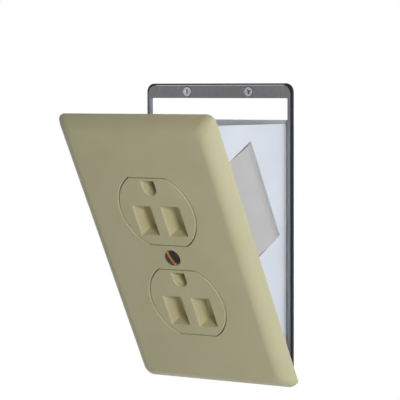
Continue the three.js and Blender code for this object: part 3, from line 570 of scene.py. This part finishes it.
def cuboid(name, low, high, place):
    (x0, y0, z0), (x1, y1, z1) = low, high
    outline = [(x0, z0), (x1, z0), (x1, z1), (x0, z1)]
    return loft(name, [at_depth(outline, y0), at_depth(outline, y1)], place)


def apply_modifiers(piece):
    """Replaces a piece's mesh by what its modifiers make of it, and removes them."""
    graph = bpy.context.evaluated_depsgraph_get()
    mesh = bpy.data.meshes.new_from_object(piece.evaluated_get(graph))
    piece.modifiers.clear()
    piece.data = mesh
    return piece


def combine(piece, others, operation):
    """Joins other solids to a piece or cuts them from it, and removes them."""
    for other in others:
        modifier = piece.modifiers.new(operation.lower(), "BOOLEAN")
        modifier.operation = operation
        modifier.solver = "EXACT"
        modifier.object = other
    apply_modifiers(piece)
    for other in others:
        bpy.data.objects.remove(other)
    return piece


def finish_surface(piece, finish, smooth_below=32.0):
    """Smooth shading with clean flats: edges sharper than the limit stay sharp."""
    piece.data.materials.clear()
    piece.data.materials.append(finish)
    for face in piece.data.polygons:
        face.material_index = 0
    piece.data.shade_smooth()
    piece.data.set_sharp_from_angle(angle=math.radians(smooth_below))
    weighted = piece.modifiers.new("flats", "WEIGHTED_NORMAL")
    weighted.keep_sharp = True
    return apply_modifiers(piece)


def softened(node, finish, edge, smooth_below=32.0, sharper_than=40.0, source=None):
    """A merged copy of a CAD node, or of another mesh for it, whose sharp outer edges are broken
    by a small round."""
    shape = bmesh.new()
    shape.from_mesh(source or NODES[node].data)
    bmesh.ops.remove_doubles(shape, verts=shape.verts, dist=1e-6)
    bmesh.ops.dissolve_limit(shape, angle_limit=math.radians(0.5), verts=shape.verts, edges=shape.edges)
    sharp = [e for e in shape.edges if len(e.link_faces) == 2 and e.is_convex
             and e.calc_face_angle(0.0) > math.radians(sharper_than)]
    bmesh.ops.bevel(shape, geom=sharp, offset=edge * MM, segments=2, profile=0.5, affect="EDGES",
                    clamp_overlap=True)
    mesh = bpy.data.meshes.new(node)
    shape.to_mesh(mesh)
    shape.free()
    piece = new_object(node + "_finished", mesh)
    return finish_surface(piece, finish, smooth_below)


def dress(piece, body, slot, *nodes):
    """Hands a finished piece to its body and hides the CAD nodes that it stands for. The record slot is
    not used.
    """
    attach(piece, body)
    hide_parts(*nodes)
    return piece


# Face plate


def roll_at(inset):
    """How far the front stands out at a distance in from the edge: a parabola that ends flat."""
    left = 1 - min(inset / PLATE_ROLL_OFF, 1)
    return PLATE_EDGE_FLAT + (PLATE_RISE - PLATE_EDGE_FLAT) * (1 - left * left)


def plate_outline(inset):
    return rounded_rectangle(PLATE_WIDTH / 2 - inset, PLATE_HEIGHT / 2 - inset, PLATE_CORNER)


def plate_rings():
    """From the rim at the wall, up the short straight edge and over the rolled edge."""
    rings = [at_depth(plate_outline(RIM_EDGE), 0.0), at_depth(plate_outline(0.0), -RIM_EDGE)]
    steps = 28
    for step in range(steps + 1):
        inset = PLATE_ROLL_OFF * step / steps
        rings.append(at_depth(plate_outline(inset), -roll_at(inset)))
    return rings


def flared(name, outline, radius, place):
    """A cutter through the plate's skin that opens out at its front by a quarter round."""
    front = -PLATE_RISE
    rings = [at_depth(outline(radius), front - OVERCUT)]
    steps = 6
    for step in range(steps + 1):
        angle = math.radians(90 * step / steps)
        margin = radius * (1 - math.sin(angle))
        rings.append(at_depth(outline(margin), front + radius * (1 - math.cos(angle))))
    rings.append(at_depth(outline(0.0), 0.0))
    return loft(name, rings, place)


def lock_seat(skin_back):
    """Cuts the cone for the lock screw's head, its throat and the bushing's bore."""
    seat = LOCK_HEAD_RADIUS + FIT
    throat = LOCK_SHANK_RADIUS + FIT
    bushing = throat + BUSHING_WALL + FIT
    soft, step = 0.2, 0.01
    return loft("lock_seat", [
        at_depth(disc(seat + soft), -PLATE_RISE - OVERCUT),
        at_depth(disc(seat + soft), -PLATE_RISE),
        at_depth(disc(seat + 0.3 * soft), -PLATE_RISE + 0.3 * soft),
        at_depth(disc(seat), -PLATE_RISE + soft),
        at_depth(disc(throat), LOCK_HEAD_CONE - PLATE_RISE),
        at_depth(disc(throat), skin_back + step),
        at_depth(disc(bushing), skin_back + 2 * step),
        at_depth(disc(bushing), LOCK_BOSS_END + OVERCUT),
    ], PLATE)


def face_plate():
    skin_back = PLATE_SKIN - PLATE_RISE
    plate = loft("ivory_face_plate", plate_rings(), PLATE)

    # The hollow behind follows the roll at a share of its depth
    rings = [at_depth(plate_outline(PLATE_RIM_WALL), OVERCUT)]
    steps = 8
    for step in range(steps + 1):
        inset = PLATE_RIM_WALL + (PLATE_ROLL_OFF - PLATE_RIM_WALL) * step / steps
        rings.append(at_depth(plate_outline(inset), -roll_at(inset) * (1 - PLATE_SKIN / PLATE_RISE)))
    combine(plate, [loft("hollow", rings, PLATE)], "DIFFERENCE")

    added = [rod("boss", LOCK_BOSS_RADIUS, skin_back - SINK, LOCK_BOSS_END, PLATE)]
    removed = []
    for z in (STAND_OFF_HIGH, STAND_OFF_LOW):
        for x in (-STAND_OFF_X, STAND_OFF_X):
            added.append(rod("stand_off", STAND_OFF_RADIUS, skin_back - SINK,
                             POCKET_FRONT_AT - FIT, PLATE, x, z))
            removed.append(rod("pilot", POCKET_SCREW_RADIUS + FIT, 0.0, POCKET_FRONT_AT, PLATE,
                               x, z, 24))
    added += hinge_knuckles()
    combine(plate, added, "UNION")

    for side in (1, -1):
        centre = side * FACE_PITCH / 2
        removed.append(flared("aperture", lambda m: duplex_outline(FACE_GROOVE + m, centre),
                              GROOVE_ROUND, PLATE))
        for x in (-FACE_EAR_REACH, FACE_EAR_REACH):
            removed.append(rod("pilot", FACE_SCREW_RADIUS + FIT,
                               skin_back - FACE_SCREW_BITE - FIT, 0.0, PLATE, x, centre, 24))
    removed.append(lock_seat(skin_back))
    removed += knuckle_room()
    combine(plate, removed, "DIFFERENCE")
    finish_surface(plate, IVORY)
    return dress(plate, "door", "ivory_plastic", "face_plate")


def plate_knuckles():
    """Where the plate's two knuckles start and end along the pin."""
    outer = KNUCKLE_SPAN / 2 - KNUCKLE_END - KNUCKLE_GAP
    inner = KNUCKLE_MIDDLE / 2 + KNUCKLE_GAP
    return [(-outer, -inner), (inner, outer)]


def hinge_rod(name, radius, x0, x1, steps=40):
    """A rod along the hinge pin's axis, drawn in the plate's frame."""
    shape = [[(x, -HINGE_OUT + radius * math.cos(2 * math.pi * i / steps),
               -HINGE_UP + radius * math.sin(2 * math.pi * i / steps)) for i in range(steps)]
             for x in (x0, x1)]
    return loft(name, shape, PLATE)


def hinge_knuckles():
    skin_back = PLATE_SKIN - PLATE_RISE
    pieces = []
    for x0, x1 in plate_knuckles():
        pieces.append(hinge_rod("knuckle", KNUCKLE_RADIUS, x0, x1))
        pieces.append(cuboid("web", (x0, skin_back - 0.5, -HINGE_UP),
                             (x1, -HINGE_OUT, -HINGE_UP + KNUCKLE_RADIUS), PLATE))
    return pieces


def knuckle_room():
    """Room for the frame's knuckles, the pin, and the wall when the door stands open."""
    room = KNUCKLE_RADIUS + FIT
    reach = KNUCKLE_SPAN / 2 + PIN_CAP_LENGTH + 2 * FIT
    (a0, a1), (b0, b1) = plate_knuckles()
    pieces = [hinge_rod("room", room, x0, x1) for x0, x1 in ((-reach, a0), (a1, b0), (b1, reach))]
    pieces.append(hinge_rod("bore", PIN_BORE, -reach - 0.1, reach + 0.1, 24))
    half, far = PLATE_WIDTH / 2 + 2 * OVERCUT, 20.0
    pieces.append(cuboid("wall_side", (-half, HINGE_OUT - PLATE_OFF_WALL, -far),
                         (half, far, -KNUCKLE_RADIUS / 2), WALL))
    return pieces


# Receptacle faces


def slot_cutter(name, outline):
    """A blind recess with a rounded mouth, tapered walls and a filleted floor.

    The outline takes a margin and the share of the depth that it lies at.
    """
    def ring(margin, depth):
        return at_depth(outline(margin, depth / SLOT_DEPTH), depth - PLATE_RISE)

    rings = [at_depth(outline(SLOT_ROUND, 0.0), -PLATE_RISE - OVERCUT)]
    for step in range(7):
        angle = math.radians(15 * step)
        rings.append(ring(SLOT_ROUND * (1 - math.sin(angle)), SLOT_ROUND * (1 - math.cos(angle))))
    for step in range(6):
        angle = math.radians(18 * step)
        rings.append(ring(-SLOT_FLOOR_ROUND * (1 - math.cos(angle)),
                          SLOT_DEPTH - SLOT_FLOOR_ROUND * (1 - math.sin(angle))))
    return loft(name, rings, PLATE)


def cup(name, outline, front):
    """The cup that holds a recess, from a depth behind the rim plane to its closed end."""
    end = SLOT_DEPTH + CUP_WALL - PLATE_RISE
    return loft(name, [at_depth(outline(CUP_WALL, (y + PLATE_RISE) / SLOT_DEPTH), y)
                       for y in (front, end)], PLATE)


def receptacle_face(label, side):
    centre = side * FACE_PITCH / 2
    skin_back = PLATE_SKIN - PLATE_RISE
    flange_front = skin_back + FIT
    flange_back = flange_front + FACE_FLANGE_THICK
    slot_z = centre - SLOT_DROP

    rings = [at_depth(duplex_outline(0, centre), flange_back)]
    for step in range(9):
        angle = math.radians(90 * step / 8)
        rings.append(at_depth(duplex_outline(-GROOVE_ROUND * (1 - math.cos(angle)), centre),
                              -PLATE_RISE + GROOVE_ROUND * (1 - math.sin(angle))))
    face = loft(f"receptacle_face_{label}_finished", rings, PLATE)

    # Solids that would share a face's plane are set apart by a hair, so that they join cleanly
    hair = 0.011
    flange = duplex_outline(FACE_FLANGE, centre)
    added = [
        loft("flange", [at_depth(flange, flange_front), at_depth(flange, flange_back + hair)], PLATE),
        cuboid("ears", (-FACE_EAR_REACH, flange_front + hair, centre - FACE_EAR_RADIUS + hair),
               (FACE_EAR_REACH, flange_back - hair, centre + FACE_EAR_RADIUS - hair), PLATE),
    ]

    def ground(margin, share):
        return ground_outline(margin - GROUND_TAPER * share, centre)

    added.append(cup("ground_cup", ground, flange_front + 0.3))
    removed = [slot_cutter("ground", ground)]
    for x in (-FACE_EAR_REACH, FACE_EAR_REACH):
        added.append(rod("ear", FACE_EAR_RADIUS, flange_front + 2 * hair, flange_back - 2 * hair,
                         PLATE, x, centre))
        removed.append(rod("hole", FACE_SCREW_RADIUS + FIT, flange_front - 0.2, flange_back + 0.2,
                           PLATE, x, centre, 24))
    for x in (-SLOT_PITCH / 2, SLOT_PITCH / 2):
        def blade(margin, share, x=x):
            return rounded_rectangle(SLOT_WIDTH / 2 + margin - SLOT_TAPER_X * share,
                                     SLOT_HEIGHT / 2 + margin - SLOT_TAPER_Z * share,
                                     SLOT_CORNER + 0.4 * max(margin, 0.0), 5, (x, slot_z))
        added.append(cup("cup", blade, flange_front + 0.4 + 5 * hair * (x > 0)))
        removed.append(slot_cutter("slot", blade))
    combine(face, added, "UNION")
    combine(face, removed, "DIFFERENCE")
    finish_surface(face, IVORY)
    return dress(face, "door", "ivory_plastic", f"receptacle_face_{label}")


# Screws


def turned_ring(radius, y, steps):
    """A ring about the Y axis."""
    return [(radius * math.cos(2 * math.pi * i / steps), y,
             radius * math.sin(2 * math.pi * i / steps)) for i in range(steps)]


def lathe(name, profile, place, steps=48):
    """A solid turned about the Y axis from a half-profile of (radius, y), its ends on the axis."""
    shape = bmesh.new()
    rows = []
    for radius, y in profile:
        if radius < 1e-6:
            rows.append([shape.verts.new((0, y, 0))])
        else:
            rows.append([shape.verts.new(point) for point in turned_ring(radius, y, steps)])
    for lower, upper in zip(rows, rows[1:]):
        for i in range(steps):
            j = (i + 1) % steps
            if len(lower) == 1:
                shape.faces.new((lower[0], upper[j], upper[i]))
            elif len(upper) == 1:
                shape.faces.new((lower[i], lower[j], upper[0]))
            else:
                shape.faces.new((lower[i], lower[j], upper[j], upper[i]))
    return from_bmesh(name, shape, place)


def cross_recess(name, size, top, depth, place, facing):
    """A tapered cross driver recess, cut from the side of the head that faces the driver."""
    pieces = []
    for along_x in (True, False):
        blade = size * RECESS_BLADE
        half = (size, blade) if along_x else (blade, size)
        mouth = [(-half[0], -half[1]), (half[0], -half[1]), (half[0], half[1]), (-half[0], half[1])]
        foot = [(x * RECESS_FOOT, z * RECESS_FOOT) for x, z in mouth]
        pieces.append(loft(name, [at_depth(mouth, top + facing * 0.3), at_depth(mouth, top),
                                  at_depth(foot, top - facing * depth)], place))
    return pieces


def pan_head_screw(name, shank, head, head_thick, length):
    """The head bears at y = 0 and faces +Y; the shank runs towards -Y. In millimetres."""
    dome = [(head * math.cos(math.radians(a)) ** 0.55 if a < 90 else 0.0,
             head_thick * (0.45 + 0.55 * math.sin(math.radians(a)))) for a in range(0, 91, 10)]
    profile = [(0, -length), (shank * 0.7, -length), (shank, -length + 0.3), (shank, 0), (head * 0.97, 0),
               (head, 0.05)] + dome
    screw = lathe(name, profile, TO_METRES, 40)
    combine(screw, cross_recess("recess", head * 0.52, head_thick, head_thick * 0.7, TO_METRES, 1),
            "DIFFERENCE")
    return finish_surface(screw, ZINC)


def frame_screw_blank():
    """A countersunk screw with a rolled thread, its head flush at y = 0 and facing -Y."""
    head, shank, length, steps = FRAME_SCREW_HEAD, FRAME_SCREW_RADIUS, FRAME_SCREW_LENGTH, 24
    cone = head - shank
    shape = bmesh.new()
    rows = []
    for radius, y in ((head * 0.98, 0.0), (head, 0.06), (shank, cone + 0.06),
                      (shank, THREAD_START - 0.2)):
        rows.append(turned_ring(radius, y, steps))
    count = int((length - THREAD_START) / THREAD_PITCH * THREAD_ROWS)
    for row in range(count + 1):
        y = THREAD_START + (length - THREAD_START) * row / count
        taper = min(1.0, max(0.06, (length - y) / FRAME_SCREW_TIP)) ** 0.7
        ring = []
        for i in range(steps):
            phase = (y / THREAD_PITCH - i / steps) % 1.0
            crest = max(0.0, 1 - abs(phase - 0.5) * 3.2)
            radius = (shank - THREAD_DEPTH * (1 - crest)) * taper
            angle = 2 * math.pi * i / steps
            ring.append((radius * math.cos(angle), y, radius * math.sin(angle)))
        rows.append(ring)
    rows = [[shape.verts.new(point) for point in ring] for ring in rows]
    for lower, upper in zip(rows, rows[1:]):
        for i in range(steps):
            j = (i + 1) % steps
            shape.faces.new((lower[i], lower[j], upper[j], upper[i]))
    shape.faces.new(rows[0])
    shape.faces.new(rows[-1])
    screw = from_bmesh("frame_screw_blank", shape, TO_METRES)
    combine(screw, cross_recess("recess", head * 0.55, 0.0, 0.9, TO_METRES, -1), "DIFFERENCE")
    return finish_surface(screw, ZINC, 40.0)


def screw_pattern_tree():
    """Copies one screw to the corners of a rectangle, each turned to its own angle."""
    tree = bpy.data.node_groups.new("screw_pattern", "GeometryNodeTree")
    face = tree.interface
    face.new_socket("Geometry", in_out="INPUT", socket_type="NodeSocketGeometry")
    face.new_socket("Screw", in_out="INPUT", socket_type="NodeSocketObject")
    for title in ("Across", "Up"):
        face.new_socket(title, in_out="INPUT", socket_type="NodeSocketFloat")
    face.new_socket("Seed", in_out="INPUT", socket_type="NodeSocketInt")
    face.new_socket("Finish", in_out="INPUT", socket_type="NodeSocketMaterial")
    face.new_socket("Geometry", in_out="OUTPUT", socket_type="NodeSocketGeometry")
    nodes = tree.nodes
    start, end = nodes.new("NodeGroupInput"), nodes.new("NodeGroupOutput")
    corners = nodes.new("GeometryNodeMeshGrid")
    corners.inputs["Vertices X"].default_value = 2
    corners.inputs["Vertices Y"].default_value = 2
    upright = nodes.new("GeometryNodeTransform")
    upright.inputs["Rotation"].default_value = (math.radians(90), 0, 0)
    screw = nodes.new("GeometryNodeObjectInfo")
    turn = nodes.new("FunctionNodeRandomValue")
    turn.data_type = "FLOAT_VECTOR"
    turn.inputs[0].default_value = (0, 0, 0)
    turn.inputs[1].default_value = (0, math.radians(90), 0)
    copies = nodes.new("GeometryNodeInstanceOnPoints")
    real = nodes.new("GeometryNodeRealizeInstances")
    paint = nodes.new("GeometryNodeSetMaterial")
    link(tree, start.outputs["Across"], corners.inputs["Size X"])
    link(tree, start.outputs["Up"], corners.inputs["Size Y"])
    link(tree, start.outputs["Screw"], screw.inputs["Object"])
    link(tree, start.outputs["Seed"], turn.inputs["Seed"])
    link(tree, corners.outputs["Mesh"], upright.inputs["Geometry"])
    link(tree, upright.outputs[0], copies.inputs["Points"])
    link(tree, screw.outputs["Geometry"], copies.inputs["Instance"])
    link(tree, turn.outputs[0], copies.inputs["Rotation"])
    link(tree, copies.outputs[0], real.inputs["Geometry"])
    link(tree, real.outputs[0], paint.inputs["Geometry"])
    link(tree, start.outputs["Finish"], paint.inputs["Material"])
    link(tree, paint.outputs[0], end.inputs[0])
    return tree


SCREW_PATTERN = screw_pattern_tree()


def screw_set(name, blank, nodes, across, up, place, body, seed):
    """Four copies of a blank, in metres, centred on a place and dressed for their nodes."""
    piece = new_object(name, bpy.data.meshes.new(name))
    modifier = piece.modifiers.new("pattern", "NODES")
    modifier.node_group = SCREW_PATTERN
    values = {"Screw": blank, "Across": across * MM, "Up": up * MM, "Seed": seed, "Finish": ZINC}
    for item in SCREW_PATTERN.interface.items_tree:
        if item.in_out == "INPUT" and item.name in values:
            modifier[item.identifier] = values[item.name]
    apply_modifiers(piece)
    bpy.data.objects.remove(blank)
    turned = place.copy()
    turned.translation = (0, 0, 0)
    turned = turned.to_3x3().normalized().to_4x4()
    piece.data.transform(Matrix.Translation(place.translation) @ turned)
    return dress(piece, body, "zinc_screws", *nodes)


def numbered(name):
    return [f"{name}_{i}" for i in range(1, 5)]


def centre_of(nodes):
    """The middle of a group of nodes' boxes."""
    corners = [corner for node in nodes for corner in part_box(node)]
    return Vector([(min(c[i] for c in corners) + max(c[i] for c in corners)) / 2 for i in range(3)])


def receptacle_screws():
    blank = pan_head_screw("blank", FACE_SCREW_RADIUS, FACE_SCREW_HEAD, FACE_SCREW_HEAD_THICK,
                           FACE_SCREW_LENGTH)
    bearing = PLATE_SKIN - PLATE_RISE + 2 * FIT + FACE_FLANGE_THICK
    screw_set("receptacle_screws", blank, numbered("receptacle_screw"), 2 * FACE_EAR_REACH,
              FACE_PITCH, PLATE @ Matrix.Translation((0, bearing, 0)), "door", 3)


def pocket_screws():
    blank = pan_head_screw("blank", POCKET_SCREW_RADIUS, POCKET_SCREW_HEAD,
                           POCKET_SCREW_HEAD_THICK, POCKET_SCREW_LENGTH)
    bearing = POCKET_FRONT_AT + POCKET_FRONT_THICK + FIT
    middle = (STAND_OFF_HIGH + STAND_OFF_LOW) / 2
    screw_set("pocket_screws", blank, numbered("pocket_screw"), 2 * STAND_OFF_X,
              STAND_OFF_HIGH - STAND_OFF_LOW, PLATE @ Matrix.Translation((0, bearing, middle)),
              "door", 5)


def spread(nodes, head):
    """How far apart four upright screws stand, across and up, from their boxes and head radius."""
    low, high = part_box(nodes[0])[0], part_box(nodes[3])[1]
    return (high.x - low.x) / MM - 2 * head, (high.z - low.z) / MM - 2 * head


def rear_cover_screws():
    blank = pan_head_screw("blank", BACK_SCREW_RADIUS, BACK_SCREW_HEAD, BACK_SCREW_HEAD_THICK,
                           BACK_SCREW_LENGTH)
    nodes = numbered("rear_cover_screw")
    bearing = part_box(nodes[0])[1].y - BACK_SCREW_HEAD_THICK * MM
    place = Matrix.Translation((0, bearing, centre_of(nodes).z)) @ TO_METRES
    screw_set("rear_cover_screws", blank, nodes, *spread(nodes, BACK_SCREW_HEAD), place, "door", 8)


def frame_screws():
    nodes = numbered("frame_screw")
    place = Matrix.Translation((0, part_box(nodes[0])[0].y, centre_of(nodes).z)) @ TO_METRES
    screw_set("frame_screws", frame_screw_blank(), nodes, *spread(nodes, FRAME_SCREW_HEAD), place,
              "frame", 2)


# Lock


def lock_screw():
    """Oval head with a driver slot, in the lock's own turned frame."""
    front = -PLATE_RISE
    crown = [(LOCK_HEAD_RADIUS * math.sin(math.radians(a)),
              front - LOCK_HEAD_CROWN * math.cos(math.radians(a)) ** 0.8 if a < 90 else front)
             for a in range(0, 91, 9)]
    profile = crown + [(LOCK_HEAD_RADIUS, front + 0.1),
                       (LOCK_SHANK_RADIUS, front + LOCK_HEAD_CONE),
                       (LOCK_SHANK_RADIUS, LOCK_SHANK_END), (0, LOCK_SHANK_END)]
    screw = lathe("lock_screw_finished", profile, LOCK, 72)
    half, lap = LOCK_SQUARE / 2, 0.1
    added = [cuboid("square", (-half, LOCK_SHANK_END - lap, -half), (half, LOCK_SQUARE_END, half),
                    LOCK),
             rod("neck", LOCK_NECK_RADIUS, LOCK_SQUARE_END - lap, LOCK_NECK_END, LOCK),
             rod("end", half, LOCK_NECK_END - lap, LOCK_END, LOCK)]
    combine(screw, added, "UNION")
    slot = LOCK_SLOT_WIDTH / 2
    reach = LOCK_HEAD_RADIUS + OVERCUT
    top = front - LOCK_HEAD_CROWN
    combine(screw, [cuboid("slot", (-slot, top - OVERCUT, -reach),
                           (slot, top + LOCK_SLOT_DEPTH, reach), LOCK)], "DIFFERENCE")
    finish_surface(screw, LOCK_FINISH)
    return dress(screw, "lock", "screw_bronze", "lock_screw")


# Ears


def quadratic(start, control, end, steps):
    """Points along a quadratic curve, the first one left out."""
    points = []
    for step in range(1, steps + 1):
        t = step / steps
        points.append(tuple((1 - t) ** 2 * a + 2 * t * (1 - t) * b + t * t * c
                            for a, b, c in zip(start, control, end)))
    return points


def ear_outline(side):
    """The leaf from above: a bead at the front, a face that rises to the rear and rolls back in."""
    root, rear = EAR_ROOT_AT, EAR_ROOT_AT + EAR_LENGTH
    bead, radius = EAR_BEAD, EAR_ROOT_RADIUS
    crest = (EAR_PROUD, rear - EAR_ROLL)
    tip = (EAR_PROUD - EAR_ROLL_IN, rear - 0.1)
    points = [(bead - radius, root)]
    points += quadratic(points[-1], (bead - radius, root - radius), (bead, root - radius), 6)
    points += quadratic(points[-1], (bead + radius, root - radius), (bead + radius, root), 6)
    points.append(crest)
    points += quadratic(crest, (EAR_PROUD + EAR_ROLL_CROWN, rear - EAR_ROLL * 0.45), tip, 14)
    points.append((EAR_PROUD - EAR_THICK, rear))
    points.append((EAR_PROUD - EAR_THICK, rear - EAR_LIP))
    return [(side * x, y) for x, y in points]


def ear(label):
    side = 1 if label == "right" else -1
    outline = ear_outline(side)
    leaf = loft("leaf", [[(x, y, z) for x, y in outline] for z in (EAR_BOTTOM, EAR_TOP)], PLATE)
    reach = EAR_PIN_LENGTH
    pins = [[(side * EAR_BEAD + EAR_PIN_RADIUS * math.cos(math.radians(a)),
              EAR_ROOT_AT + EAR_PIN_RADIUS * math.sin(math.radians(a)), z) for a in range(0, 360, 20)]
            for z in (EAR_BOTTOM - reach, EAR_TOP + reach)]
    combine(leaf, [loft("pins", pins, PLATE)], "UNION")
    node = f"side_ear_{label}"
    piece = softened(node, EAR_SHADED_WHITE, EAR_EDGE, smooth_below=50.0, source=leaf.data)
    bpy.data.objects.remove(leaf)
    return dress(piece, f"ear_{label}", "white_plastic", node)


# Everything else keeps its CAD shape with broken edges


def carried_over():
    for node, body, slot, finish, edge in (
            ("pocket_shell", "door", "white_plastic", WHITE, MOULDED_EDGE),
            ("rear_cover", "door", "white_plastic", WHITE, MOULDED_EDGE),
            ("wall_frame", "frame", "frame_steel", PAINT, PRESSED_EDGE),
            ("edge_seal", "frame", "foam", FOAM, PRESSED_EDGE),
            ("hinge_pin", "frame", "pin_steel", PIN_STEEL, PRESSED_EDGE),
            ("hinge_pin_cap_right", "frame", "pin_steel", PIN_STEEL, PRESSED_EDGE),
            ("hinge_pin_cap_left", "frame", "pin_steel", PIN_STEEL, PRESSED_EDGE),
            ("latch_bar", "lock", "latch_steel", LATCH_STEEL, PRESSED_EDGE),
            ("lock_washer", "lock", "latch_steel", LATCH_STEEL, WASHER_EDGE),
            ("lock_clip", "lock", "latch_steel", LATCH_STEEL, THIN_EDGE),
            ("lock_bushing", "door", "bushing_brass", BRASS, THIN_EDGE)):
        dress(softened(node, finish, edge), body, slot, node)


# Stage, light and camera

# In metres, and the share of plain white that the floor shows to the camera and to mirrors
FLOOR_HALF = 0.5
FLOOR_AT = -0.16
FLOOR_WHITE = 0.85
WORLD_STRENGTH = 0.05
LAMP_AIM = Vector((0.0, -0.03, 0.05))

# Where the photograph was taken from, in metres
CAMERA_PLACE = Vector((0.46302, -0.65442, 0.10262))
CAMERA_FORWARD = Vector((-0.58435, 0.80977, -0.05345))
CAMERA_ROLL = math.radians(-0.14)
CAMERA_LENS = 193.3
CAMERA_SENSOR = 36.0


def seen_rays(tree):
    """1 where the camera looks straight, in a mirror or through glass; 0 for the light itself."""
    path = tree.nodes.new("ShaderNodeLightPath")
    rays = maths(tree, "MAXIMUM", path.outputs["Is Camera Ray"], path.outputs["Is Glossy Ray"])
    return maths(tree, "MAXIMUM", rays, path.outputs["Is Transmission Ray"])


def stage():
    mesh = bpy.data.meshes.new("floor")
    corners = [(x * FLOOR_HALF, y * FLOOR_HALF, FLOOR_AT)
               for x, y in ((-1, -1), (1, -1), (1, 1), (-1, 1))]
    mesh.from_pydata(corners, [], [(0, 1, 2, 3)])
    floor = new_object("floor", mesh)
    material, tree, shader = new_material("pale_floor", Roughness=0.9)
    shader.inputs["Base Color"].default_value = rgb(242, 242, 242)
    glow = tree.nodes.new("ShaderNodeEmission")
    glow.inputs["Strength"].default_value = 1.0
    pick = tree.nodes.new("ShaderNodeMixShader")
    link(tree, maths(tree, "MULTIPLY", seen_rays(tree), FLOOR_WHITE), pick.inputs[0])
    link(tree, shader.outputs[0], pick.inputs[1])
    link(tree, glow.outputs[0], pick.inputs[2])
    link(tree, pick.outputs[0], tree.nodes["Material Output"].inputs["Surface"])
    floor.data.materials.append(material)


def world():
    surroundings = bpy.data.worlds.new("studio")
    bpy.context.scene.world = surroundings
    surroundings.use_nodes = True
    tree = surroundings.node_tree
    tree.nodes.clear()
    soft = tree.nodes.new("ShaderNodeBackground")
    soft.inputs["Color"].default_value = (1.0, 0.99, 0.97, 1)
    soft.inputs["Strength"].default_value = WORLD_STRENGTH
    seen = tree.nodes.new("ShaderNodeBackground")
    seen.inputs["Color"].default_value = (1, 1, 1, 1)
    seen.inputs["Strength"].default_value = 1.0
    pick = tree.nodes.new("ShaderNodeMixShader")
    out = tree.nodes.new("ShaderNodeOutputWorld")
    link(tree, seen_rays(tree), pick.inputs[0])
    link(tree, soft.outputs[0], pick.inputs[1])
    link(tree, seen.outputs[0], pick.inputs[2])
    link(tree, pick.outputs[0], out.inputs[0])


def lamp(name, place, size, power, colour):
    """A square lamp that faces the middle of the safe."""
    light = bpy.data.lights.new(name, "AREA")
    light.shape = "SQUARE"
    light.size = size
    light.energy = power
    light.color = colour
    holder = bpy.data.objects.new(name, light)
    bpy.context.scene.collection.objects.link(holder)
    holder.location = place
    holder.rotation_euler = (LAMP_AIM - Vector(place)).to_track_quat("-Z", "Y").to_euler()


def lights():
    """A lamp to the right of the camera, cool daylight from the right, and a room behind."""
    lamp("lamp_front_right", (0.49, -0.415, 0.13), 0.18, 1.85, (1.0, 0.995, 0.98))
    lamp("window_right", (0.60, 0.02, 0.03), 0.4, 1.0, (0.76, 0.87, 1.0))
    lamp("window_behind", (0.45, 0.40, 0.08), 0.35, 0.3, (0.74, 0.87, 1.0))
    lamp("room_behind", (-0.30, 0.60, 0.30), 0.5, 1.9, (1.0, 0.99, 0.97))


def camera():
    lens = bpy.data.cameras.new("camera")
    lens.lens = CAMERA_LENS
    lens.sensor_width = CAMERA_SENSOR
    lens.sensor_fit = "HORIZONTAL"
    holder = bpy.data.objects.new("camera", lens)
    bpy.context.scene.collection.objects.link(holder)
    holder.location = CAMERA_PLACE
    aim = CAMERA_FORWARD.to_track_quat("-Z", "Y")
    holder.rotation_euler = (aim.to_matrix() @ Matrix.Rotation(CAMERA_ROLL, 3, "Z")).to_euler()
    bpy.context.scene.camera = holder


face_plate()
receptacle_face("upper", 1)
receptacle_face("lower", -1)
lock_screw()
ear("right")
ear("left")
receptacle_screws()
pocket_screws()
rear_cover_screws()
frame_screws()
carried_over()
stage()
world()
lights()
camera()
bpy.context.scene.view_settings.view_transform = "Standard"
